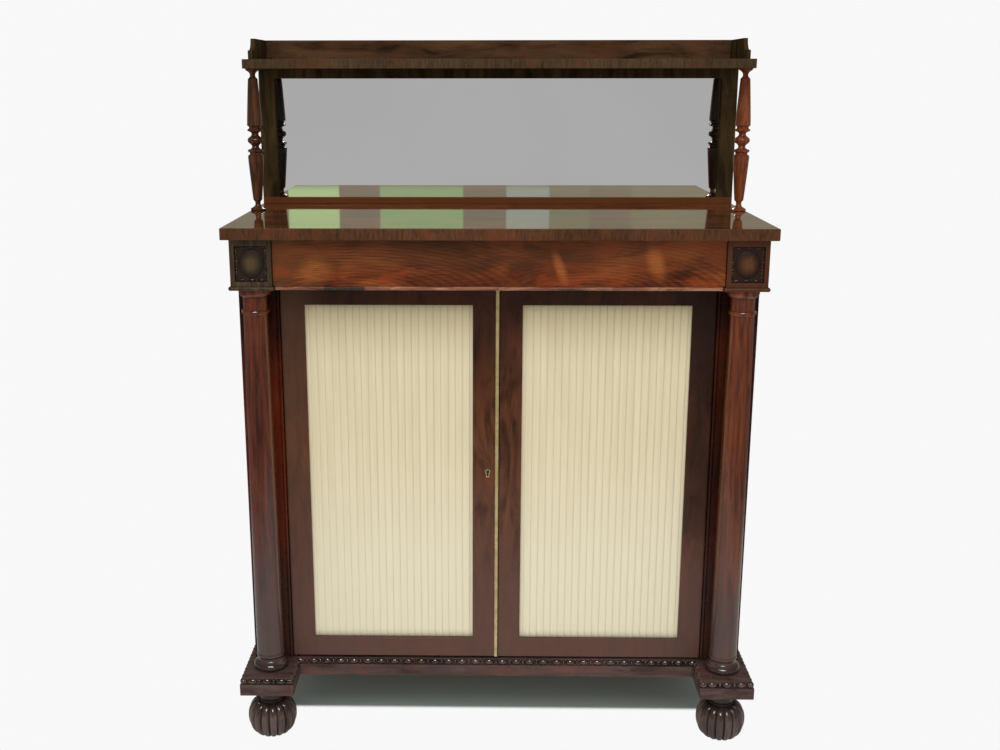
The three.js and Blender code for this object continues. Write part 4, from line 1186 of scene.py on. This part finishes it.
# %% Turn the small columns
SMALL_RADIUS, SMALL_SIDES = 16 * MM, 48
SMALL_PROFILE_SHARES = (
    (0.80, 0), (0.90, 0.003), (0.93, 0.008), (0.92, 0.014), (0.80, 0.018), (0.55, 0.026), (0.38, 0.036),
    (0.33, 0.048), (0.33, 0.060), (0.40, 0.068), (0.52, 0.074), (0.56, 0.080), (0.66, 0.14), (0.76, 0.21),
    (0.86, 0.28), (0.94, 0.34), (0.99, 0.384), (0.96, 0.394), (0.84, 0.399), (0.76, 0.402), (0.74, 0.409),
    (0.76, 0.416), (0.90, 0.420), (0.97, 0.425), (0.97, 0.430), (0.90, 0.436), (0.62, 0.441), (0.46, 0.450),
    (0.42, 0.458), (0.46, 0.466), (0.60, 0.475), (0.82, 0.484), (0.92, 0.493), (0.95, 0.502), (0.92, 0.511),
    (0.82, 0.520), (0.60, 0.528), (0.46, 0.538), (0.43, 0.546), (0.46, 0.555), (0.66, 0.562), (0.88, 0.567),
    (0.93, 0.572), (0.92, 0.578), (0.80, 0.582), (0.73, 0.586), (0.71, 0.592), (0.74, 0.599), (0.88, 0.603),
    (0.94, 0.608), (0.90, 0.66), (0.82, 0.74), (0.73, 0.82), (0.65, 0.89), (0.60, 0.928), (0.48, 0.937),
    (0.36, 0.943), (0.33, 0.952), (0.34, 0.964), (0.44, 0.974), (0.66, 0.984), (0.82, 0.989), (0.88, 0.995),
    (0.88, 1),
)
low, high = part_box("turned_column_left")
profile = [(r * SMALL_RADIUS, h * (high.z - low.z)) for r, h in SMALL_PROFILE_SHARES]
small_foot = sole("turned_column_left")
small = turn("small_column_left", small_foot, profile, SMALL_SIDES)
other = another(small, "small_column_right", (-2 * small_foot.x, 0, 0))
dress(small, turned_wood, "carcase", "rosewood", "turned_column_left")
dress(other, bright_turned_wood, "carcase", "rosewood", "turned_column_right")

# %% [markdown]
# ## Reeded melon feet
#
# A melon foot is turned to its outline and then carved: grooves are cut from top to bottom, and what stays
# between them is rounded into reeds. The same two steps work here. The turning has twelve points to a reed.
# Then, ring by ring, the points near a groove are drawn towards the axis, the groove itself the furthest.

# %% Carve one foot
REEDS, STEPS = 16, 12
REED_FULLNESS = 2.2
FOOT_PROFILE = (
    # radius and height in mm, carved depth in mm
    (20.0, 0.0, 0.0), (26.4, 0.0, 4.6), (32.6, 2.6, 6.2), (37.2, 6.4, 7.2), (41.2, 11.4, 7.8),
    (44.6, 18.0, 8.0), (46.8, 25.5, 8.0), (47.9, 33.5, 8.0), (48.0, 41.0, 8.0), (47.3, 48.5, 8.0),
    (45.7, 54.5, 7.8), (43.0, 60.4, 7.4), (39.8, 65.0, 6.8), (36.2, 68.6, 6.0), (32.8, 71.0, 4.8),
    (29.6, 72.5, 3.2), (27.0, 72.9, 1.2), (25.6, 72.6, 0.0), (24.8, 72.6, 0.0), (25.2, 73.8, 0.0),
    (24.9, 75.2, 0.0), (23.9, 76.2, 0.0), (22.6, 76.8, 0.0), (21.8, 78.6, 0.0), (21.3, 82.0, 0.0),
    (21.2, 88.0, 0.0), (21.6, 93.0, 0.0), (23.2, 97.0, 0.0), (25.8, 100.0, 0.0), (28.4, 101.8, 0.0),
    (28.8, 104.0, 0.0),
)


def carve(piece, foot, rows):
    """Draws the points of each ring in towards the axis, by how near they are to a groove."""
    open_up(piece)
    turn_step = math.tau / (REEDS * STEPS)
    for radius, height, depth in rows:
        if not depth:
            continue
        for offset in range(STEPS // 2 + 1):
            share = abs(1 - offset / (STEPS / 2))
            cut = depth * (1 - math.sqrt(max(0.0, 1 - share**REED_FULLNESS)))
            if cut <= 0:
                continue

            def near_groove(point):
                away = point.co - foot
                if abs(away.z - height * MM) > 0.05 * MM or abs(away.xy.length - radius * MM) > 0.2 * MM:
                    return False
                around = round(math.atan2(away.y, away.x) / turn_step) % STEPS
                return min(around, STEPS - around) == offset

            pick(piece, "VERT", near_groove)
            keep = (radius - cut) / radius
            bpy.ops.transform.resize(value=(keep, keep, 1), center_override=foot)
    bpy.ops.object.mode_set(mode="OBJECT")
    smooth(piece, 50)


foot_base = sole("foot_front_left")
profile = [(r * MM, h * MM) for r, h, _ in FOOT_PROFILE]
carved = turn("foot_carved_front_left", foot_base, profile, REEDS * STEPS)
carve(carved, foot_base, FOOT_PROFILE)
report(carved)

# %% [markdown]
# ## Four feet
#
# The other three feet are copies of the first. Those at the back are hardly ever seen, but a maker would
# have turned all four alike, so they are carved too.

# %% Copy the foot
for tag in ("front_right", "back_left", "back_right"):
    shift = sole("foot_" + tag) - foot_base
    twin = another(carved, "foot_carved_" + tag, (shift.x, shift.y, 0))
    dress(twin, foot_wood, "carcase", "dark_rosewood", "foot_" + tag)
dress(carved, foot_wood, "carcase", "dark_rosewood", "foot_front_left")

# %% [markdown]
# ## Bead and reel
#
# The moulding round the plinth was turned as a rod of fat beads with a thin disc between each two, then
# split down its length and glued on. One bead and one disc are turned together. An array repeats them to
# the length of a run, and one more disc closes it. A bisect then splits the rod, just as the saw did.

# %% One run of bead and reel
DISC_SHARE = 0.27  # where the disc ends and the bead starts, along the unit
CORE_SHARE = 0.12  # how thick the rod is between them, against the bead


def swelling(middle, half, height, steps, power):
    """Points over a swelling of the rod: along the unit, and out as a share of the bead's radius."""
    points = []
    for i in range(1, steps):
        t = math.pi * i / steps
        out = math.sin(t) ** power
        points.append((middle - half * math.cos(t), CORE_SHARE + (height - CORE_SHARE) * out))
    return points


UNIT_SHARES = [(0, CORE_SHARE), *swelling(0.135, 0.085, 0.97, 8, 0.6)]
UNIT_SHARES += [(DISC_SHARE, CORE_SHARE), *swelling(0.635, 0.33, 1.0, 14, 1.0), (1, CORE_SHARE)]


def bead_run(name, length, pitch, radius, sides):
    """Half a rod along x, from the origin, its flat face towards +y, with a disc at either end."""
    count = max(1, round(length / pitch - DISC_SHARE))
    step = length / (count + DISC_SHARE)
    unit = [(out * radius, along * step) for along, out in UNIT_SHARES]
    rod = turn(name, (0, 0, 0), unit, sides)
    open_up(rod)
    pick(rod, "FACE", lambda face: len(face.verts) > 4)
    bpy.ops.mesh.delete(type="FACE")
    bpy.ops.object.mode_set(mode="OBJECT")
    use_modifier(
        rod, "ARRAY", count=count, use_relative_offset=False, use_constant_offset=True,
        constant_offset_displace=(0, 0, step), use_merge_vertices=True, merge_threshold=0.01 * MM,
    )
    disc = [(out * radius, along * step) for along, out in UNIT_SHARES if along <= DISC_SHARE]
    last = turn("last_disc", (0, 0, count * step), disc, sides)
    open_up(joined([rod, last], name))
    bpy.ops.mesh.fill_holes(sides=0)
    bpy.ops.mesh.select_all(action="SELECT")
    bpy.ops.mesh.bisect(plane_co=(0, 0, 0), plane_no=(0, 1, 0), clear_outer=True, use_fill=True)
    face_outwards(rod)
    rod.rotation_euler = (0, math.pi / 2, 0)
    settle(rod)
    smooth(rod, 40)
    return rod


# %% [markdown]
# ## The beads across the front
#
# One run crosses the front between the corner blocks. It was cut long, so a disc and half a bead of it
# disappear into each block, as in the photograph.

# %% Lay the front run
BEAD_PITCH, BEAD_RADIUS, BEAD_SIDES = 27.7 * MM, 6.5 * MM, 18


def laid(rod, angle, place):
    """Turns a run about the upright axis and puts its start at a place."""
    rod.rotation_euler = (0, 0, angle)
    rod.location = place
    return settle(rod)


rail_low, rail_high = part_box("bead_moulding_front")
bead_level = (rail_low.z + rail_high.z) / 2
rail_length = rail_high.x - rail_low.x
buried = (1 + DISC_SHARE) / 2 * rail_length / round(rail_length / BEAD_PITCH)
rail = bead_run("bead_front", rail_length + 2 * buried, BEAD_PITCH, BEAD_RADIUS, BEAD_SIDES)
laid(rail, 0, (rail_low.x - buried, rail_high.y, bead_level))
dress(rail, bead_wood, "carcase", "dark_rosewood", "bead_moulding_front")

# %% [markdown]
# ## The beads round the corner blocks
#
# Each corner block has a run across its front, one down the outside to the back, and a short return on the
# inside, with a round bead at each corner. The left block's runs are joined into one piece. The right
# block's piece is its mirror image. A mirror turns faces inside out, so they are turned outwards again.

# %% Lay the beads round the corner blocks
RECESS = 6.5 * MM
block_low, block_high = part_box("plinth_block_left")
outer_x, inner_x = block_low.x + RECESS, block_high.x - RECESS
front_y = block_low.y + RECESS
back_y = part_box("plinth_side_left")[1].y
return_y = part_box("plinth_rail_front")[0].y + RECESS - BEAD_RADIUS


def corner_bead(x, y):
    """A round bead at a corner."""
    let_go()
    place = (x, y, bead_level)
    bpy.ops.mesh.primitive_uv_sphere_add(segments=16, ring_count=10, radius=BEAD_RADIUS, location=place)
    bead = settle(bpy.context.object)
    bpy.ops.object.shade_smooth()
    return bead


runs = []
for length, angle, start in (
    (inner_x - outer_x, 0, (outer_x, front_y, bead_level)),
    (back_y - front_y, -math.pi / 2, (outer_x, back_y, bead_level)),
    (return_y - front_y, math.pi / 2, (inner_x, front_y, bead_level)),
):
    runs.append(laid(bead_run("beads_left", length, BEAD_PITCH, BEAD_RADIUS, BEAD_SIDES), angle, start))
beads_left = joined([*runs, *(corner_bead(x, front_y) for x in (outer_x, inner_x))], "beads_left")
beads_right = another(beads_left, "beads_right", (0, 0, 0))
beads_right.scale = (-1, 1, 1)
settle(beads_right)
face_outwards(beads_right)
dress(beads_left, bead_wood, "carcase", "dark_rosewood", "bead_moulding_left")
dress(beads_right, bead_wood, "carcase", "dark_rosewood", "bead_moulding_right")

# %% [markdown]
# ## The frieze blocks
#
# The blocks at the ends of the frieze have a sunk panel, a low oval cushion in its middle and a fine bead
# and reel round its edge. The panel could be cut with a boolean. An inset of the front face, pushed in,
# leaves cleaner faces. Its top border is wider, so the upper edge of the inset is moved down before the
# push. Inside the panels a box of dark tone on either side gives painted shade in the recess.

# %% Sink the panel
SIDE_BORDER, EXTRA_HEAD, SINK = 8.5 * MM, 4.5 * MM, 7 * MM
SLACK = 0.1 * MM

low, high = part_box("frieze_block_left")
block_middle = (low + high) / 2
inner_top = high.z - SIDE_BORDER
frieze = block("frieze_block_carved_left", low, high)


def in_front(face):
    """Whether a face looks forward."""
    return face.normal.y < -0.9


def on_panel_top(edge):
    """Whether an edge is the upper one of the inset."""
    return all(abs(v.co.z - inner_top) < SLACK and abs(v.co.y - low.y) < SLACK for v in edge.verts)


def is_panel(face):
    """Whether a face is the one inside the inset."""
    away = face.calc_center_median() - block_middle
    return in_front(face) and max(abs(away.x), abs(away.z)) < SIDE_BORDER


open_up(frieze)
pick(frieze, "FACE", in_front)
bpy.ops.mesh.inset(thickness=SIDE_BORDER)
pick(frieze, "EDGE", on_panel_top)
bpy.ops.transform.translate(value=(0, 0, -EXTRA_HEAD))
pick(frieze, "FACE", is_panel)
bpy.ops.mesh.extrude_region_move(TRANSFORM_OT_translate={"value": (0, SINK, 0)})
bpy.ops.object.mode_set(mode="OBJECT")
report(ease_edges(frieze, 0.6 * MM))

panel_low = Vector((low.x + SIDE_BORDER, low.y + SINK, low.z + SIDE_BORDER))
panel_high = Vector((high.x - SIDE_BORDER, low.y + SINK, inner_top - EXTRA_HEAD))
centre = (panel_low + panel_high) / 2
# Painted shade in the sunk panels, left and right.
for mirror in (1, -1):
    ends = sorted((mirror * panel_low.x, mirror * panel_high.x))
    painted_shade_low, painted_shade_high = (ends[0], low.y + 2 * MM, panel_low.z), (ends[1], PAST, panel_high.z)
    stain_or_paint_light(block_wood, painted_shade_low, painted_shade_high, (36, 27, 19), 0.75, soft=1 * MM)

# %% [markdown]
# ## The cushions
#
# The cushion is a flattened ball, cut off flat behind. It is pale in the middle and darker towards its
# rim, so its finish is read from the cushion's own middle, and left and right need one each.

# %% Raise the cushion
CUSHION_HALVES = (23 * MM, 4.2 * MM, 26 * MM)
PALE_HALVES = (21 * MM, 24 * MM)


def cushion_finish(name, middle, dark, body):
    """The oval cushion's finish: pale in the middle and darker towards its rim."""
    material, tree, shader, place = start_finish(name, 0.5, Specular_IOR_Level=0.1)
    offset = moved(tree, place, location=[-m for m in middle])
    oval = moved(tree, offset, scale=(1 / PALE_HALVES[0], 1, 1 / PALE_HALVES[1]))
    figure = noise(tree, moved(tree, place, scale=(1, 1, 0.2)), 330.0, detail=4.0)
    middle_share = ranged(tree, reach_of(tree, oval), 0.15, 1.0, 1.0, 0.0)
    paleness = sums(tree, "MULTIPLY", middle_share, ranged(tree, figure, 0.3, 0.7, 0.6, 1.0))
    join_up(tree, shader, mixed(tree, paleness, colour(*dark), colour(*body)), None, figure, strength=0.1)
    return material


right_centre = (-centre.x, centre.y, centre.z)
left_cushion = cushion_finish("cushion_rosewood", centre, (46, 37, 24), (94, 76, 50))
right_cushion = cushion_finish("cushion_rosewood_right", right_centre, (50, 32, 20), (108, 67, 42))

let_go()
bpy.ops.mesh.primitive_uv_sphere_add(segments=48, ring_count=24, radius=1, location=centre)
cushion = bpy.context.object
cushion.name = "frieze_cushion_left"
cushion.scale = CUSHION_HALVES
settle(cushion)
open_up(cushion)
bpy.ops.mesh.bisect(plane_co=centre, plane_no=(0, 1, 0), clear_outer=True, use_fill=True)
bpy.ops.object.mode_set(mode="OBJECT")
smooth(cushion, 40)
report(cushion)

# %% [markdown]
# ## The fine beads, and both blocks
#
# The same bead and reel edges the panel, at less than half the thickness: two runs lie along it and two
# stand up. Block, cushion and beads are then copied to the right. The block alone stands for the CAD node,
# since a node is replaced only once.

# %% Edge the panel with beads and copy the block
TINY_PITCH, TINY_RADIUS, TINY_SIDES = 19 * MM, 2.6 * MM, 12


def panel_beads(x, z, length, upright):
    """A fine run along one side of the panel."""
    rod = bead_run("frieze_beads_left", length, TINY_PITCH, TINY_RADIUS, TINY_SIDES)
    rod.rotation_euler = (0, -math.pi / 2 if upright else 0, 0)
    rod.location = (x, centre.y, z)
    return settle(rod)


width, height = panel_high.x - panel_low.x, panel_high.z - panel_low.z
runs = [
    panel_beads(panel_low.x, panel_low.z + TINY_RADIUS, width, False),
    panel_beads(panel_low.x, panel_high.z - TINY_RADIUS, width, False),
    panel_beads(panel_low.x + TINY_RADIUS, panel_low.z, height, True),
    panel_beads(panel_high.x - TINY_RADIUS, panel_low.z, height, True),
]
tiny_beads = joined(runs, "frieze_beads_left")
tiny_wood = rosewood(
    "fine_bead_rosewood", "x", (38, 27, 19), (56, 41, 31), (76, 57, 43), figure=160.0, polish=0.14,
    gloss=0.35,
)
across = (2 * abs(centre.x), 0, 0)
for piece, left_finish, right_finish, nodes in (
    (frieze, block_wood, block_wood, ["frieze_block_left"]),
    (cushion, left_cushion, right_cushion, []),
    (tiny_beads, tiny_wood, tiny_wood, []),
):
    twin = another(piece, piece.name.replace("left", "right"), across)
    dress(twin, right_finish, "carcase", "dark_rosewood", *[n.replace("left", "right") for n in nodes])
    dress(piece, left_finish, "carcase", "dark_rosewood", *nodes)

# %% [markdown]
# ## The drawer front
#
# There is no knob: a finger under the moulded lip pulls the drawer. The front is the CAD solid with its
# edges eased, under the flame veneer. The lip is rubbed paler by two centuries of fingers, so its faces,
# the lowest ones, get a lighter finish, with a dark length on the left where it has chipped.

# %% Ease the drawer front and rub its lip
LIP_HEIGHT = 7.4 * MM
CHIP_LEFT, CHIP_RIGHT = -0.318, -0.243  # m from the middle

drawer_front = ease_edges(copy_of_solid("drawer_front", "drawer_front_eased"), 0.5 * MM)
lip_wood = rosewood(
    "lip_rosewood", "x", (84, 44, 28), (142, 88, 62), (184, 132, 100), figure=90.0, polish=0.24, gloss=0.5,
)
lip_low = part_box("drawer_front")[0].z
chip_low, chip_high = (CHIP_LEFT, -PAST, lip_low - 0.01), (CHIP_RIGHT, PAST, lip_low + 0.02)
stain_or_paint_light(lip_wood, chip_low, chip_high, (34, 24, 18), 0.9)
two_finishes(drawer_front, drawer_wood, lip_wood, lambda f: f.calc_center_median().z < lip_low + LIP_HEIGHT)
dress(drawer_front, None, "drawer", "rosewood", "drawer_front")

# %% [markdown]
# ## Pleated silk
#
# Each door is filled with silk laid in knife pleats. The cloth runs forward across the face of a pleat,
# folds back under itself for a few millimetres, and turns again to become the next. Seen from the front
# only the fold edges show, as fine shadow lines. The way of the cloth across the door is worked out first,
# as one line seen from above.

# %% The line of the pleats
PLEATS = 24
UNDER = 4.2 * MM  # how far a pleat runs under its neighbour
FACE_STEPS = 6


def pleat_path(x_start, pitch, crest, trough):
    """(x, y, distance along the cloth, share of crease) for every column of the cloth."""
    points, creased = [], []
    for i in range(PLEATS):
        begin, fold = x_start + i * pitch - (UNDER if i else 0), x_start + (i + 1) * pitch
        for step in range(FACE_STEPS + 1):
            t = step / FACE_STEPS
            rise = math.sin(t * math.pi / 2) ** 0.8
            points.append((begin + (fold - begin) * t, trough + (crest - trough) * rise))
            creased.append(1.0 if i and points[-1][0] < fold - pitch else 0.0)
        if i < PLEATS - 1:
            creased.extend((0.0, 0.5, 1.0, 1.0))
            points.append((fold + 0.25 * MM, crest + 0.35 * MM))
            points.append((fold - 0.1 * MM, crest + 0.7 * MM))
            points.append((fold - UNDER * 0.5, (crest + trough) / 2 + 0.55 * MM))
            points.append((fold - UNDER - 0.2 * MM, trough + 0.25 * MM))
    path, run = [], 0.0
    for i, (x, y) in enumerate(points):
        if i:
            run += math.dist(points[i - 1], (x, y))
        path.append((x, y, run, creased[i]))
    return path


# %% [markdown]
# ## Folding the cloth
#
# A striped panel would be quicker, but the cloth here really does fold: a grid is laid out flat, and every
# column of it is moved to its place along that line, with a little unevenness from top to bottom. Its UV
# map keeps the flat layout, so that the threads follow the cloth, and an attribute marks the creases.

# %% Fold the silk
SILK_ROWS = 28
CREST, TROUGH = 0.35 * MM, 2.6 * MM  # behind the front of the cloth's space
SILK_THICKNESS = 0.2 * MM


def pleated_silk(node, name, seed):
    """One door's silk, in the space of its CAD solid."""
    low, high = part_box(node)
    pitch = (high.x - low.x) / PLEATS
    path = pleat_path(low.x, pitch, low.y + CREST, low.y + TROUGH)
    columns = len(path)
    let_go()
    bpy.ops.mesh.primitive_grid_add(
        x_subdivisions=columns - 1, y_subdivisions=SILK_ROWS, size=1, calc_uvs=True, location=(0, 0, 0)
    )
    cloth = bpy.context.object
    cloth.name = name
    flat_width, flat_length = path[-1][2], high.z - low.z
    for point in cloth.data.vertices:
        column_at = round((point.co.x + 0.5) * (columns - 1))
        t = point.co.y + 0.5
        x, y = path[column_at][:2]
        pleat = int((x - low.x) / pitch)
        sway = math.sin(seed + pleat * 2.4 + t * 5.0) * 0.3
        sway += math.sin(seed * 2 + pleat * 5.1 + t * 13.0) * 0.12
        held = min(1.0, 6 * t, 6 * (1 - t)) * min(1.0, (x - low.x) / pitch, (high.x - x) / pitch)
        point.co = (x + sway * MM * max(0.0, held), y, low.z + t * flat_length)
    crease = cloth.data.attributes.new("crease", "FLOAT", "POINT")
    for mark, point in zip(crease.data, cloth.data.vertices):
        mark.value = path[point.index % columns][3]
    for loop, corner in zip(cloth.data.uv_layers[0].data, cloth.data.loops):
        index = corner.vertex_index
        loop.uv = (path[index % columns][2], cloth.data.vertices[index].co.z)
    smooth(cloth, 60)
    use_modifier(cloth, "SOLIDIFY", thickness=SILK_THICKNESS, offset=0.0)
    print(f"{name}: flat {flat_width * 1000:.0f} x {flat_length * 1000:.0f} mm in {PLEATS} pleats")
    return cloth, (flat_width, flat_length)


for side, body, seed in (("left", "left_door", 0.7), ("right", "right_door", 3.9)):
    cloth, flat = pleated_silk("silk_panel_" + side, "silk_pleats_" + side, seed)
    dress(cloth, silk_cloth, body, "silk", "silk_panel_" + side)

# %% [markdown]
# ## Brass and steel
#
# A half-round brass strip covers the joint of the doors, and a thin brass lining protects the keyhole. The
# lock is seen only when the left door is open. All of them get eased edges. The pivots hardly show at all,
# so their CAD solids serve, with a better finish.

# %% Fit the metalwork
for node, rounding, finish, slot in (
    ("meeting_strip", 0.3, brass, "brass"),
    ("escutcheon", 0.12, brass, "brass"),
    ("lock_case", 0.5, steel, "steel"),
):
    dress(ease_edges(copy_of_solid(node, node + "_eased"), rounding * MM), finish, "left_door", slot, node)
bolt = ease_edges(board("lock_bolt", "lock_bolt_eased"), 0.5 * MM)
dress(bolt, steel, "bolt", "steel", "lock_bolt")
for node, obj in frame["nodes"].items():
    if node.startswith("pivot_"):
        obj.data.materials.clear()
        obj.data.materials.append(old_brass)

# %% [markdown]
# ## The looking glass
#
# The plate is silvered glass in a rebate, with its edges ground round by less than half a millimetre. The
# inset leaves a border inside the rounding, where the plate meets the frame.

# %% Grind the plate
PLATE_BORDER, PLATE_ROUNDING = 9 * MM, 0.4 * MM

glass = board("mirror_glass", "mirror_plate")
open_up(glass)
pick(glass, "FACE", in_front)
bpy.ops.mesh.inset(thickness=PLATE_BORDER)
face_outwards(glass)
ease_edges(glass, PLATE_ROUNDING)
dress(glass, silvering, "carcase", "mirror", "mirror_glass")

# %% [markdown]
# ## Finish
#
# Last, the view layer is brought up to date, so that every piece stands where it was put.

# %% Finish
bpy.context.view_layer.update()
